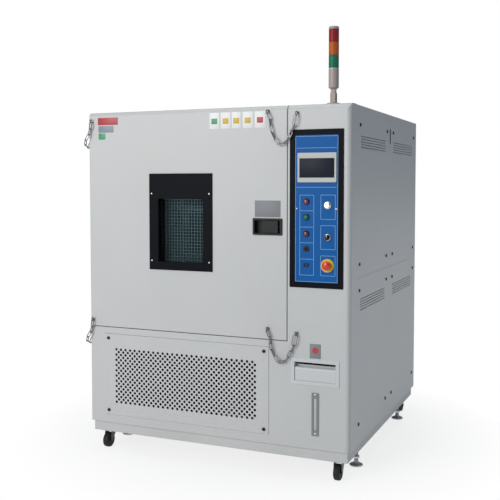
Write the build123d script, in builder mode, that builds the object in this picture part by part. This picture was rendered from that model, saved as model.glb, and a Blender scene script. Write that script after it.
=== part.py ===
"""An environmental test chamber: a walk-up climate cabinet on casters.

One thick door on side hinges closes a stainless workspace. A column beside the door holds the
controls, the water drawer and the level gauge, and the refrigeration stands behind the grille
below. Millimetres. +X is the viewer's right, -Y is the front, +Z is up. The origin is on the
floor, under the middle of the cabinet.
"""

from build123d import *
from math import cos, radians, sin
import os

os.makedirs("parts", exist_ok=True)

# Overall sizes
WIDTH = 1360.0
DEPTH = 1350.0
TOP = 1700.0
BASE = 95.0  # underside of the skirt above the floor
SKIRT_HEIGHT = 50.0
SKIRT_INSET = 12.0
EDGE_R = 28.0  # rounded top front edge
CORNER_R = 20.0  # rounded front corner of the column

# Sheet and fits
SKIN = 3.0
SHEET = 1.5
GAP = 4.0  # shadow gap round the door
SEAT = 0.3  # a piece laid on another
RUN = 0.05  # shaft in its hole, on the radius

# Faces
LEFT, RIGHT = -WIDTH / 2, WIDTH / 2
FRONT, BACK = -DEPTH / 2, DEPTH / 2
BODY = BASE + SKIRT_HEIGHT

# Door and front frame
FRAME_DEPTH = 75.0  # the front frame and the closed door
FACE_Y = FRONT + FRAME_DEPTH  # sealing face behind the door
DOOR_RIGHT = RIGHT - 299.0
DOOR_BOTTOM = 632.0
GASKET = 12.0
DOOR_BACK = FACE_Y - GASKET - SEAT  # back of the painted door pan
COLUMN_LEFT = DOOR_RIGHT + GAP
LOWER_TOP = DOOR_BOTTOM - GAP

# Workspace and its throat
THROAT_MARGIN = 110.0  # insulation round the workspace
THROAT_DEPTH = 50.0
OPEN_LEFT, OPEN_RIGHT = LEFT + THROAT_MARGIN, COLUMN_LEFT - THROAT_MARGIN
OPEN_BOTTOM, OPEN_TOP = DOOR_BOTTOM + THROAT_MARGIN, TOP - THROAT_MARGIN
LINER_BACK = BACK - 325.0
BAFFLE_Y = LINER_BACK - 150.0
BAY_BACK = LINER_BACK + 80.0  # back of the insulation
DECK_Z = DOOR_BOTTOM  # sheet between the machine room and what stands over it

# Door plug, gasket and window
PLUG_GAP = 10.0
PLUG_DEPTH = 48.0
GASKET_WIDTH = 24.0
WINDOW_X, WINDOW_Z = (LEFT + DOOR_RIGHT) / 2 - 13.5, (DOOR_BOTTOM + TOP) / 2 - 3.5
WINDOW_WIDTH, WINDOW_HEIGHT = 340.0, 465.0
VIEW_WIDTH, VIEW_HEIGHT = 242.0, 305.0
VIEW_Z = WINDOW_Z - 40.5
PANE = 5.0
WINDOW_PROUD = 3.0
MESH_PITCH = 15.5
MESH_WIRE = 2.0
MESH_DEPTH = 72.0  # the guard behind the door face

# Hinges
HINGE_X, HINGE_Y = LEFT - 12.0, FACE_Y
HINGE_ZS = (DOOR_BOTTOM + 158.0, (DOOR_BOTTOM + TOP) / 2 - 46.0, TOP - 250.0)
HINGE_HEIGHT = 96.0
BARREL_R = 8.0
HINGE_PIN_R = 4.0
LEAF = 6.0
LEAF_REACH = 46.0

# Latch
LATCH_X, LATCH_Z = DOOR_RIGHT - 95.0, (DOOR_BOTTOM + TOP) / 2 - 16.5
LATCH_WIDTH, LATCH_HEIGHT = 146.0, 78.0
LATCH_PROUD = 7.0
CUP_DEPTH = 24.0
PADDLE_WIDTH, PADDLE_HEIGHT = 78.0, 54.0
PADDLE_THICK = 5.0
PADDLE_PIN_R = 3.0
TONGUE_Z = LATCH_Z
TONGUE_HALF = 9.0
TONGUE_THICK = 8.0
TONGUE_LEFT, TONGUE_RIGHT = LATCH_X + 30.0, LATCH_X + 80.0
TONGUE_STEM_X, TONGUE_STEM = LATCH_X + 48.0, 12.0
TONGUE_TRAVEL = 12.0
KEEPER_X, KEEPER_HALF = LATCH_X + 78.0, 12.0
KEEPER_GAP, KEEPER_WALL = 1.5, 4.0  # gap above and below the tongue
KEEPER_PLATE, KEEPER_REACH = 2.0, 8.0

# Control panel on the column
PANEL_X = RIGHT - 159.0
PANEL_BOTTOM, PANEL_TOP = TOP - 821.0, TOP - 112.0
PANEL_WIDTH = 252.0
BEZEL = 25.0
BEZEL_PROUD = 3.0
SCREEN_Z, SCREEN_WIDTH, SCREEN_HEIGHT = PANEL_TOP - 170.0, 183.0, 133.0
SCREEN_PROUD = 7.0
GLASS_WIDTH, GLASS_HEIGHT, GLASS_Z = 164.0, 88.0, SCREEN_Z - 2.0
LAMP_X, LAMP_ZS = PANEL_X - 47.0, (PANEL_TOP - 322.0, PANEL_TOP - 392.0, PANEL_TOP - 466.0)
SOCKET_X, PORT_Z, SOCKET_Z = LAMP_X, PANEL_TOP - 534.0, PANEL_TOP - 607.0
KNOB_X = PANEL_X + 53.0
LIMIT_Z, SELECT_Z, ESTOP_Z = PANEL_TOP - 338.0, PANEL_TOP - 480.0, PANEL_TOP - 606.0
FITTING_HOLE_R = 11.0
BODY_R = 10.5
LAMP_R = 14.5
FITTING_DEPTH = 34.0
COLLAR = 4.0
DIAL_STEM_R, DIAL_R, DIAL_HEIGHT = 3.0, 12.0, 14.0
STEM_REACH = 20.0  # stems behind the collars
STOP_RING_R, STOP_HEAD_R, STOP_STEM_R = 30.0, 20.0, 6.0
STOP_TRAVEL = 5.0
STOP_HEAD = 17.0

# Water drawer and level gauge
DRAWER_X, DRAWER_Z = PANEL_X - 4.0, LOWER_TOP - 131.5
DRAWER_OUTER_W, DRAWER_OUTER_H = 230.0, 121.0
DRAWER_W, DRAWER_H = 196.0, 86.0
DRAWER_LENGTH = 240.0
DRAWER_WALL = 3.0
DRAWER_TRAVEL = 150.0
HOUSING_WALL = 3.0
DRAWER_CLEAR = 1.5
LIP = 22.0
GAUGE_X, GAUGE_Z = PANEL_X - 1.5, DRAWER_Z - 191.0
GAUGE_W, GAUGE_H = 34.0, 197.0

# Grille below the door
GRILLE_LEFT, GRILLE_RIGHT = LEFT + 83.0, DOOR_RIGHT - 88.0
GRILLE_BOTTOM, GRILLE_TOP = BODY + 42.0, LOWER_TOP - 32.0
HOLES_LEFT, HOLES_RIGHT = GRILLE_LEFT + 69.0, GRILLE_RIGHT - 69.0
HOLES_BOTTOM, HOLES_TOP = GRILLE_BOTTOM + 67.0, GRILLE_TOP - 77.0
GRILLE_COLUMNS, GRILLE_ROWS = 12, 7
GRILLE_HOLE_R = 13.0
FASTENER_R = 8.0
FASTENER_HEAD = 4.0
FASTENER_INSET_X, FASTENER_INSET_Z = 24.0, 22.0

# Removable panels of the right side
MULLION_Y = 37.0
PANEL_Y = ((FACE_Y + 10.0, MULLION_Y - 7.0), (MULLION_Y + 7.0, BACK - 12.0))
PANEL_Z = ((BODY + 38.0, TOP - 783.0), (TOP - 779.0, TOP - 30.0))
PANEL_INSET = 58.0
SLOT_ROWS, SLOTS = 5, 4
SLOT_HEIGHT = 7.0
SLOT_PITCH_Z = 14.0
SLOT_FIELD = 450.0
COVER_INSET, COVER_FASTENER = 20.0, 8.0
LOUVRE_W, LOUVRE_H, LOUVRE_PITCH = 130.0, 12.0, 40.0
SLOT_TOP = (90.0, 98.0)  # slot field below the panel's top: lower and upper row of panels

# Tower light
TOWER_X, TOWER_Y = RIGHT - 110.0, FRONT + 90.0
TOWER_R = 23.0
FOLD_Z = TOP + 49.0
TOWER_BASE_Z = TOP + 72.0
LENS_ZS = (TOP + 165.0, TOP + 222.0, TOP + 280.0, TOP + 337.0)
TOWER_BASE_TOP = TOP + 156.0
TOWER_TOP = TOP + 350.0
FOOT_DISC_R, FOOT_DISC = 30.0, 8.0
KNUCKLE_R, KNUCKLE_HALF, FORK_T, FOLD_PIN_R = 12.0, 8.0, 6.0, 4.0
TUBE_R = 5.0  # tie rod through the lenses

# Running gear
WHEEL_R, WHEEL_WIDTH = 37.5, 30.0
CASTER_X, CASTER_Y = WIDTH / 2 - 68.0, DEPTH / 2 - 77.0
CASTER_TRAIL = 24.0
MOUNT_Z = 105.0
AXLE_R = 5.0
KING_PIN_R = 8.0
FOOT_X, FOOT_YS = WIDTH / 2 - 47.0, (FRONT + 277.0, BACK - 217.0)
FOOT_R = 32.5
STEM_R, STEM_TOP = 10.0, MOUNT_Z + 13.0
BEAM_WIDTH, BEAM_HEIGHT = 100.0, BODY - MOUNT_Z

# Chains
LINK_LENGTH, LINK_WIDTH, WIRE = 40.0, 17.0, 4.5
CLIP_LENGTH, CLIP_WIDTH = 58.0, 26.0
CHAIN_Y = FRONT - 12.0  # plane in which the right-hand chains hang
CHAIN_TOPS = (TOP - 28.0, DOOR_BOTTOM + 48.0)
DOOR_EYE_X, FRAME_EYE_X = DOOR_RIGHT - 93.0, COLUMN_LEFT + 44.0
EYE_LENGTH, EYE_WIDTH, EYE_STAND = 22.0, 18.0, FRONT - CHAIN_Y
WALL_HEADING = (0, -0.35, -0.94)
ROUND_CORNER = (
    (-0.10, 0.00, -1.00),
    (-0.28, -0.05, -0.95),
    (-0.49, -0.08, -0.84),
    (-0.42, 0.52, -0.74),
    (-0.04, 0.88, -0.46),
    (0.00, 0.56, 0.82),
    (0.00, 0.50, 0.87),
    (0.00, 0.29, 0.96),
)
HOOK_R = 1.6

# Shelves
SHELF_ZS = (OPEN_BOTTOM + 190.0, OPEN_BOTTOM + 470.0)
SHELF_FRONT, SHELF_BACK = FACE_Y + 90.0, BAFFLE_Y - 30.0
RAIL_DEPTH, RAIL_WIDTH, RAIL_INSET = 10.0, 20.0, 60.0
BRACKET_REACH, BRACKET = 20.0, 6.0
SHELF_ROD, SHELF_WIRE = 6.0, 3.0
SHELF_WIRES = 21

# Machinery
FAN_X, FAN_Z = (OPEN_LEFT + OPEN_RIGHT) / 2, OPEN_TOP - 220.0
FAN_R, FAN_SHAFT_R = 150.0, 8.0
FAN_Y = LINER_BACK - 75.0
BLADES, BLADE = 8, 4.0
MOTOR_R, MOTOR_LENGTH, MOTOR_PLATE = 75.0, 160.0, 6.0
COIL_TOP, COIL_BOTTOM, COIL_DEPTH = OPEN_BOTTOM + 330.0, OPEN_BOTTOM + 110.0, 90.0
COIL_FIN_PITCH, FIN = 16.0, 2.0
HEATER_Z, HEATER_R, HEATER_PITCH = COIL_TOP + 60.0, 5.0, 30.0
CONDENSER_X, CONDENSER_Z = LEFT + 350.0, (BODY + LOWER_TOP) / 2 - 11.5
CONDENSER_W, CONDENSER_H, CONDENSER_T = 420.0, 380.0, 90.0
CONDENSER_Y = FRONT + 195.0
CONDENSER_FIN_PITCH, FIN_DEPTH = 14.0, 10.0
SHROUD_DEPTH, ARM = 70.0, 16.0
COOLING_FAN_R, COOLING_BLADES, HUB_R, COOLING_SHAFT_R = 165.0, 5, 36.0, 5.0
COMPRESSOR_X, COMPRESSOR_YS = CONDENSER_X + 390.0, (FRONT + 425.0, FRONT + 825.0)
COMPRESSOR_R, COMPRESSOR_H = 90.0, 270.0


def front(y):
    """The plane facing the viewer at depth y, with its own x along +X and its y along +Z."""
    return Plane.XZ.offset(-y)


def pane(x0, x1, z0, z1, mode=Mode.ADD):
    """A rectangle given by its edges, in the sketch that is open."""
    with Locations(((x0 + x1) / 2, (z0 + z1) / 2)):
        Rectangle(x1 - x0, z1 - z0, mode=mode)


def frame_corners(x0, x1, z0, z1, inset_x, inset_z):
    """The four fastener places of a panel."""
    return [(x, z) for x in (x0 + inset_x, x1 - inset_x) for z in (z0 + inset_z, z1 - inset_z)]


def walls(part, *faces):
    """The part's walls, which meet face to face; each face is a place and the side whose wall comes off."""
    rest, single = part, []
    for place, side in faces:
        inner = Plane(origin=place, z_dir=side)
        single += split(rest, bisect_by=inner, keep=Keep.TOP).solids()
        rest = split(rest, bisect_by=inner, keep=Keep.BOTTOM)
    return [*single, *rest.solids()]


def levels(*heights):
    """Cuts across an upright plate, from the top down, where its openings begin and end."""
    return [((0, 0, height), (0, 0, 1)) for height in sorted(heights, reverse=True)]


def save(name, part):
    if isinstance(part, list):
        part = Compound(part)
    part.label = name
    export_step(part, f"parts/{name}.step")


# Base frame: the recessed skirt, two box beams and their cross tubes
beam_x = WIDTH / 2 - SKIRT_INSET - SKIN - BEAM_WIDTH / 2 - SEAT
with BuildPart() as base_frame:
    with BuildSketch(Plane.XY.offset(BASE)):
        Rectangle(WIDTH - 2 * SKIRT_INSET, DEPTH - 2 * SKIRT_INSET)
        offset(amount=-SKIN, mode=Mode.SUBTRACT)
    extrude(amount=SKIRT_HEIGHT)
    with BuildSketch(Plane.XY.offset(BODY - SKIN)):
        Rectangle(WIDTH - 2 * SKIRT_INSET, DEPTH - 2 * SKIRT_INSET)
        Rectangle(
            2 * (beam_x - BEAM_WIDTH / 2), DEPTH - 2 * SKIRT_INSET - 2 * BEAM_WIDTH, mode=Mode.SUBTRACT
        )
    extrude(amount=SKIN)
    with BuildSketch(Plane.XZ.offset(-(DEPTH / 2 - SKIRT_INSET - SKIN))):
        with Locations((-beam_x, BODY - BEAM_HEIGHT / 2), (beam_x, BODY - BEAM_HEIGHT / 2)):
            Rectangle(BEAM_WIDTH, BEAM_HEIGHT)
            Rectangle(BEAM_WIDTH - 2 * SKIN, BEAM_HEIGHT - 2 * SKIN, mode=Mode.SUBTRACT)
    extrude(amount=DEPTH - 2 * SKIRT_INSET - 2 * SKIN)
    with BuildSketch(Plane.XY.offset(MOUNT_Z)) as sockets:
        with GridLocations(2 * CASTER_X, 2 * CASTER_Y, 2, 2):
            Circle(KING_PIN_R + RUN)
        for foot_y in FOOT_YS:
            with Locations((-FOOT_X, foot_y), (FOOT_X, foot_y)):
                Circle(STEM_R + RUN)
    extrude(amount=BEAM_HEIGHT - SKIN, mode=Mode.SUBTRACT)
save("base_frame", base_frame.part)

# Outer shell: roof, left and right walls, decks and rear rim
with BuildPart() as cabinet_shell:
    with BuildSketch(Plane.XY.offset(BODY)):
        pane(LEFT, RIGHT, FACE_Y, BACK)
    extrude(amount=TOP - BODY)
    roof_edges = cabinet_shell.edges().filter_by(Axis.Y).group_by(Axis.Z)[-1]
    fillet(roof_edges, SKIN)
    # Machine room, workspace bay and control bay
    with BuildSketch(front(FACE_Y)):
        pane(LEFT + SKIN, RIGHT - SKIN, BODY + SKIN, DECK_Z - SKIN)
        pane(LEFT + SKIN, COLUMN_LEFT, DECK_Z, TOP - SKIN)
        pane(COLUMN_LEFT + SKIN, RIGHT - SKIN, DECK_Z, TOP - SKIN)
    extrude(amount=-(DEPTH - FRAME_DEPTH - SKIN), mode=Mode.SUBTRACT)
    # Rear openings behind the covers
    with BuildSketch(front(BACK)):
        pane(LEFT + 30, RIGHT - 30, BODY + 30, DECK_Z - 30)
        pane(LEFT + 30, COLUMN_LEFT - 30, DECK_Z + 30, TOP - 30)
        pane(COLUMN_LEFT + 30, RIGHT - 30, DECK_Z + 30, TOP - 30)
    extrude(amount=SKIN, mode=Mode.SUBTRACT)
    # Pockets for the removable side panels, with the openings they cover
    for y0, y1 in PANEL_Y:
        for z0, z1 in PANEL_Z:
            with BuildSketch(Plane.YZ.offset(RIGHT)):
                pane(y0 - SEAT, y1 + SEAT, z0 - SEAT, z1 + SEAT)
            extrude(amount=-SHEET, mode=Mode.SUBTRACT)
            with BuildSketch(Plane.YZ.offset(RIGHT)):
                pane(y0 + 20, y1 - 20, z0 + 20, z1 - 20)
            extrude(amount=-SKIN, mode=Mode.SUBTRACT)
save(
    "cabinet_shell",
    walls(
        cabinet_shell.part,
        ((LEFT + SKIN, 0, 0), (-1, 0, 0)),
        ((RIGHT - SKIN, 0, 0), (1, 0, 0)),
        ((0, 0, TOP - SKIN), (0, 0, 1)),
        ((0, BACK - SKIN, 0), (0, 1, 0)),
        ((0, 0, BODY + SKIN), (0, 0, -1)),
        ((0, 0, DECK_Z), (0, 0, 1)),
    ),
)

# Front frame: one painted pan, the control column and the apron below the door


def front_block(panes, inset, y_back, left_r, right_r):
    """A block from y_back to the front with the cabinet's rounded top and corners, set in by inset."""
    with BuildPart() as block:
        with BuildSketch(front(y_back)):
            for x0, x1, z0, z1 in panes:
                pane(x0, x1, z0, z1)
        extrude(amount=y_back - FRONT - inset)
        with BuildSketch(Plane.YZ.offset(LEFT)) as side:
            pane(FRONT + inset, y_back, BODY, TOP - inset)
            fillet(side.vertices().group_by(Axis.X)[0].sort_by(Axis.Y)[-1], EDGE_R - inset)
        extrude(amount=WIDTH, mode=Mode.INTERSECT)
        with BuildSketch(Plane.XY.offset(BODY)) as plan:
            pane(panes[0][0], panes[0][1], FRONT + inset, y_back)
            for x0, x1, z0, z1 in panes[1:]:
                pane(x0, x1, FRONT + inset, y_back)
            fillet(plan.vertices().group_by(Axis.Y)[0].sort_by(Axis.X)[0], left_r - inset)
            fillet(plan.vertices().group_by(Axis.Y)[0].sort_by(Axis.X)[-1], right_r - inset)
        extrude(amount=TOP - BODY, mode=Mode.INTERSECT)
    return block.part


column = (COLUMN_LEFT, RIGHT, BODY, TOP)
apron = (LEFT, COLUMN_LEFT + SKIN, BODY, LOWER_TOP)
column_in = (COLUMN_LEFT + SKIN, RIGHT - SKIN, BODY + SKIN, TOP - SKIN)
apron_in = (LEFT + SKIN, COLUMN_LEFT + SKIN, BODY + SKIN, LOWER_TOP - SKIN)
blue_w = PANEL_WIDTH - 2 * BEZEL
panel_z = (PANEL_BOTTOM + PANEL_TOP) / 2
panel_h = PANEL_TOP - PANEL_BOTTOM
blue_h = panel_h - 2 * BEZEL
sleeve_w, sleeve_h = DRAWER_W + 2 * HOUSING_WALL, DRAWER_H + 2 * HOUSING_WALL
with BuildPart() as front_frame:
    add(front_block([column, apron], 0, FACE_Y, 8, CORNER_R))
    add(front_block([column_in, apron_in], SKIN, FACE_Y, 8, CORNER_R), mode=Mode.SUBTRACT)
    with BuildSketch(front(FRONT)):
        with Locations((PANEL_X, panel_z)):
            Rectangle(blue_w, blue_h)
        with Locations((DRAWER_X, DRAWER_Z)):
            Rectangle(sleeve_w + 2 * SEAT, sleeve_h + 2 * SEAT)
        with Locations((GAUGE_X, GAUGE_Z)):
            Rectangle(GAUGE_W - 12, GAUGE_H - 30)
        pane(HOLES_LEFT - 15, HOLES_RIGHT + 15, HOLES_BOTTOM - 15, HOLES_TOP + 15)
    extrude(amount=-SKIN, mode=Mode.SUBTRACT)
column_plate, *column_walls = walls(
    split(front_frame.part, bisect_by=Plane.YZ.offset(COLUMN_LEFT), keep=Keep.TOP),
    ((0, FRONT + SKIN, 0), (0, -1, 0)),
    ((RIGHT - SKIN, 0, 0), (1, 0, 0)),
    ((COLUMN_LEFT + SKIN, 0, 0), (-1, 0, 0)),
    ((0, 0, TOP - SKIN), (0, 0, 1)),
    ((0, 0, BODY + SKIN), (0, 0, -1)),
    ((0, 0, TOP - EDGE_R), (0, 0, 1)),
)
column_plate = walls(
    column_plate,
    *levels(
        panel_z - blue_h / 2,
        panel_z + blue_h / 2,
        DRAWER_Z - sleeve_h / 2 - SEAT,
        DRAWER_Z + sleeve_h / 2 + SEAT,
        GAUGE_Z - (GAUGE_H - 30) / 2,
        GAUGE_Z + (GAUGE_H - 30) / 2,
    ),
)
apron_plate, *apron_walls = walls(
    split(front_frame.part, bisect_by=Plane.YZ.offset(COLUMN_LEFT), keep=Keep.BOTTOM),
    ((0, FRONT + SKIN, 0), (0, -1, 0)),
    ((LEFT + SKIN, 0, 0), (-1, 0, 0)),
    ((0, 0, LOWER_TOP - SKIN), (0, 0, 1)),
    ((0, 0, BODY + SKIN), (0, 0, -1)),
)
apron_plate = walls(apron_plate, *levels(HOLES_BOTTOM - 15, HOLES_TOP + 15))
save("front_frame", column_plate + column_walls + apron_plate + apron_walls)

# Grille plate over the condenser
with BuildPart() as grille_panel:
    with BuildSketch(front(FRONT)):
        pane(GRILLE_LEFT, GRILLE_RIGHT, GRILLE_BOTTOM, GRILLE_TOP)
        hole_dx = (HOLES_RIGHT - HOLES_LEFT) / (GRILLE_COLUMNS - 0.5)
        hole_dz = (HOLES_TOP - HOLES_BOTTOM) / (GRILLE_ROWS - 1)
        for row in range(GRILLE_ROWS):
            shift = hole_dx / 2 * (row % 2)
            places = [
                (HOLES_LEFT + shift + column_i * hole_dx, HOLES_BOTTOM + row * hole_dz)
                for column_i in range(GRILLE_COLUMNS)
            ]
            with Locations(*places):
                RegularPolygon(GRILLE_HOLE_R, 6, mode=Mode.SUBTRACT)
    extrude(amount=SHEET)
save("grille_panel", grille_panel.part)

# Removable panels of the right side, each with its rows of vent slots
with BuildPart() as side_panels:
    slot_w = SLOT_FIELD / (SLOTS + (SLOTS - 1) * 0.12)
    for z_row, (z0, z1) in enumerate(PANEL_Z):
        for y0, y1 in PANEL_Y:
            with BuildSketch(Plane.YZ.offset(RIGHT - SHEET)):
                pane(y0, y1, z0, z1)
                with Locations(((y0 + y1) / 2, z1 - SLOT_TOP[z_row] - SLOT_ROWS * SLOT_PITCH_Z / 2)):
                    with GridLocations(slot_w * 1.12, SLOT_PITCH_Z, SLOTS, SLOT_ROWS):
                        Rectangle(slot_w, SLOT_HEIGHT, mode=Mode.SUBTRACT)
            extrude(amount=SHEET)
save("side_panels", side_panels.part)

# Rear covers: the upper ones are plain, the lower one breathes
rear_panes = (
    (LEFT + COVER_INSET, COLUMN_LEFT - COVER_INSET, DECK_Z + COVER_INSET, TOP - COVER_INSET),
    (COLUMN_LEFT + COVER_INSET, RIGHT - COVER_INSET, DECK_Z + COVER_INSET, TOP - COVER_INSET),
    (LEFT + COVER_INSET, RIGHT - COVER_INSET, BODY + COVER_INSET, DECK_Z - COVER_INSET),
)
with BuildPart() as rear_cover:
    with BuildSketch(front(BACK + SHEET)):
        for cover in rear_panes:
            pane(*cover)
        for field_x in (CONDENSER_X, -CONDENSER_X):
            with Locations((field_x, CONDENSER_Z)):
                with GridLocations(LOUVRE_W + 20, LOUVRE_PITCH, 3, 6):
                    Rectangle(LOUVRE_W, LOUVRE_H, mode=Mode.SUBTRACT)
    extrude(amount=SHEET)
save("rear_cover", rear_cover.part)

# Black quarter-turn fasteners of the grille and the side panels
grille_corners = frame_corners(
    GRILLE_LEFT, GRILLE_RIGHT, GRILLE_BOTTOM, GRILLE_TOP, FASTENER_INSET_X, FASTENER_INSET_Z
)
side_corners = [
    place
    for y0, y1 in PANEL_Y
    for z0, z1 in PANEL_Z
    for place in frame_corners(y0, y1, z0, z1, PANEL_INSET, PANEL_INSET)
]
with BuildPart() as panel_fasteners:
    with BuildSketch(front(FRONT - SHEET)):
        with Locations(*grille_corners):
            RegularPolygon(FASTENER_R, 12)
    extrude(amount=FASTENER_HEAD)
    with BuildSketch(Plane.YZ.offset(RIGHT)):
        with Locations(*side_corners):
            RegularPolygon(FASTENER_R, 12)
    extrude(amount=FASTENER_HEAD)
    with BuildSketch(front(BACK + SHEET)):
        for x0, x1, z0, z1 in rear_panes:
            with Locations(*frame_corners(x0, x1, z0, z1, COVER_FASTENER + 6, COVER_FASTENER + 6)):
                RegularPolygon(COVER_FASTENER, 12)
    extrude(amount=-FASTENER_HEAD)
save("panel_fasteners", panel_fasteners.part)

# Insulation round the workspace, its liner and the throat that the door closes on
bay = (LEFT + SKIN + SEAT, COLUMN_LEFT - SEAT, DECK_Z + SEAT, TOP - SKIN - SEAT)
opening = (OPEN_LEFT, OPEN_RIGHT, OPEN_BOTTOM, OPEN_TOP)


def grown(box, amount):
    """The same pane, larger by amount on every side."""
    x0, x1, z0, z1 = box
    return (x0 - amount, x1 + amount, z0 - amount, z1 + amount)


liner_front = FACE_Y + THROAT_DEPTH + SEAT
with BuildPart() as throat_frame:
    with BuildSketch(front(FACE_Y)):
        pane(*bay)
        pane(*opening, mode=Mode.SUBTRACT)
    extrude(amount=-THROAT_DEPTH)
    # Latch keeper, open toward the door
    with BuildSketch(front(FACE_Y)):
        pane(KEEPER_X - KEEPER_HALF, KEEPER_X + KEEPER_HALF, TONGUE_Z - 23, TONGUE_Z + 23)
    extrude(amount=KEEPER_PLATE)
    with BuildSketch(front(FACE_Y - KEEPER_PLATE)):
        for side in (-1, 1):
            with Locations((KEEPER_X, TONGUE_Z + side * (TONGUE_HALF + KEEPER_GAP + KEEPER_WALL / 2))):
                Rectangle(2 * KEEPER_HALF, KEEPER_WALL)
        with Locations((KEEPER_X + KEEPER_HALF - KEEPER_WALL / 2, TONGUE_Z)):
            Rectangle(KEEPER_WALL, 2 * (TONGUE_HALF + KEEPER_WALL))
    extrude(amount=KEEPER_REACH)
save("throat_frame", throat_frame.part)

foam_in = grown(opening, SHEET + SEAT)
foam_back = LINER_BACK + SHEET + SEAT
with BuildPart() as insulation:
    # Four boards round the liner and one behind it
    with BuildSketch(front(liner_front)):
        pane(bay[0], bay[1], bay[2], foam_in[2])
        pane(bay[0], bay[1], foam_in[3], bay[3])
        pane(bay[0], foam_in[0], foam_in[2] + SEAT, foam_in[3] - SEAT)
        pane(foam_in[1], bay[1], foam_in[2] + SEAT, foam_in[3] - SEAT)
    extrude(amount=-(foam_back - SEAT - liner_front))
    with BuildSketch(front(foam_back)):
        pane(*bay)
        with Locations((FAN_X, FAN_Z)):
            Circle(FAN_SHAFT_R + 4, mode=Mode.SUBTRACT)
    extrude(amount=-(BAY_BACK - foam_back))
save("insulation", insulation.part)

with BuildPart() as chamber_liner:
    with BuildSketch(front(liner_front)):
        pane(*grown(opening, SHEET))
    extrude(amount=-(LINER_BACK + SHEET - liner_front))
    with BuildSketch(front(liner_front)):
        pane(*opening)
    extrude(amount=-(LINER_BACK - liner_front), mode=Mode.SUBTRACT)
    with BuildSketch(front(LINER_BACK)):
        with Locations((FAN_X, FAN_Z)):
            Circle(FAN_SHAFT_R + 2)
    extrude(amount=-SHEET, mode=Mode.SUBTRACT)
save(
    "chamber_liner",
    walls(
        chamber_liner.part,
        ((OPEN_LEFT, 0, 0), (-1, 0, 0)),
        ((OPEN_RIGHT, 0, 0), (1, 0, 0)),
        ((0, 0, OPEN_TOP), (0, 0, 1)),
        ((0, 0, OPEN_BOTTOM), (0, 0, -1)),
    ),
)

# Baffle in front of the air duct: fan inlet above, slots at the top and bottom
with BuildPart() as air_baffle:
    with BuildSketch(front(BAFFLE_Y)):
        pane(*grown(opening, -SEAT))
        with Locations((FAN_X, FAN_Z)):
            Circle(FAN_R * 0.8, mode=Mode.SUBTRACT)
        with Locations((FAN_X, OPEN_TOP - 30), (FAN_X, OPEN_BOTTOM + 30)):
            with GridLocations(200, 1, 4, 1):
                Rectangle(180, 30, mode=Mode.SUBTRACT)
    extrude(amount=-SHEET)
    # Stand-offs that carry it on the liner's back wall
    with BuildSketch(front(BAFFLE_Y + SHEET)):
        with Locations((OPEN_LEFT + 30, FAN_Z - 200), (OPEN_RIGHT - 30, FAN_Z - 200)):
            Rectangle(16, 16)
    extrude(amount=-(LINER_BACK - BAFFLE_Y - SHEET - SEAT))
save("air_baffle", air_baffle.part)

# Door leaf: the painted, foamed slab with its window tunnel and latch cup
plug = grown(opening, -PLUG_GAP)
view = (
    WINDOW_X - VIEW_WIDTH / 2,
    WINDOW_X + VIEW_WIDTH / 2,
    VIEW_Z - VIEW_HEIGHT / 2,
    VIEW_Z + VIEW_HEIGHT / 2,
)
tunnel = grown(view, 6)
window = (
    WINDOW_X - WINDOW_WIDTH / 2,
    WINDOW_X + WINDOW_WIDTH / 2,
    WINDOW_Z - WINDOW_HEIGHT / 2,
    WINDOW_Z + WINDOW_HEIGHT / 2,
)
cup_w, cup_h = LATCH_WIDTH - 10, LATCH_HEIGHT - 8
cup_back = FRONT + CUP_DEPTH
with BuildPart() as door_leaf:
    add(front_block([(LEFT, DOOR_RIGHT, DOOR_BOTTOM, TOP)], 0, DOOR_BACK, 8, 3))
    with BuildSketch(front(FRONT)):
        pane(*grown(window, SEAT))
    extrude(amount=-PANE, mode=Mode.SUBTRACT)
    with BuildSketch(front(FRONT)):
        pane(*tunnel)
    extrude(amount=-(DOOR_BACK - FRONT), mode=Mode.SUBTRACT)
    with BuildSketch(front(FRONT)):
        with Locations((LATCH_X, LATCH_Z)):
            Rectangle(cup_w + 2 * SEAT, cup_h + 2 * SEAT)
    extrude(amount=-(CUP_DEPTH + SEAT), mode=Mode.SUBTRACT)
    with BuildSketch(front(cup_back)):
        with Locations((TONGUE_STEM_X - TONGUE_TRAVEL / 2, TONGUE_Z)):
            Rectangle(TONGUE_STEM + TONGUE_TRAVEL + 2, 2 * TONGUE_HALF + 2)
    extrude(amount=-(DOOR_BACK - cup_back), mode=Mode.SUBTRACT)
save("door_leaf", door_leaf.part)

# Stainless plug on the back of the door and the gasket round it
with BuildPart() as door_liner:
    with BuildSketch(front(FACE_Y + PLUG_DEPTH)):
        pane(*plug)
    extrude(amount=FACE_Y + PLUG_DEPTH - DOOR_BACK - SEAT)
    back_edges = door_liner.faces().sort_by(Axis.Y)[-1].edges()
    chamfer(back_edges, 8)
    with BuildSketch(front(FACE_Y + PLUG_DEPTH)):
        pane(*tunnel)
    extrude(amount=FACE_Y + PLUG_DEPTH - DOOR_BACK - SEAT, mode=Mode.SUBTRACT)
save("door_liner", door_liner.part)

with BuildPart() as door_gasket:
    with BuildSketch(front(FACE_Y - SEAT)):
        pane(*grown(plug, PLUG_GAP + 2 + GASKET_WIDTH))
        pane(*grown(plug, PLUG_GAP + 2), mode=Mode.SUBTRACT)
    extrude(amount=GASKET - SEAT)
    chamfer(door_gasket.faces().sort_by(Axis.Y)[-1].edges(), 4)
save("door_gasket", door_gasket.part)

# Window: black border plate, three panes and the wire guard between them
with BuildPart() as window_frame:
    with BuildSketch(front(FRONT + PANE - SEAT)):
        pane(*window)
        pane(*view, mode=Mode.SUBTRACT)
    extrude(amount=PANE - SEAT + WINDOW_PROUD)
save("window_frame", window_frame.part)

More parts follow.
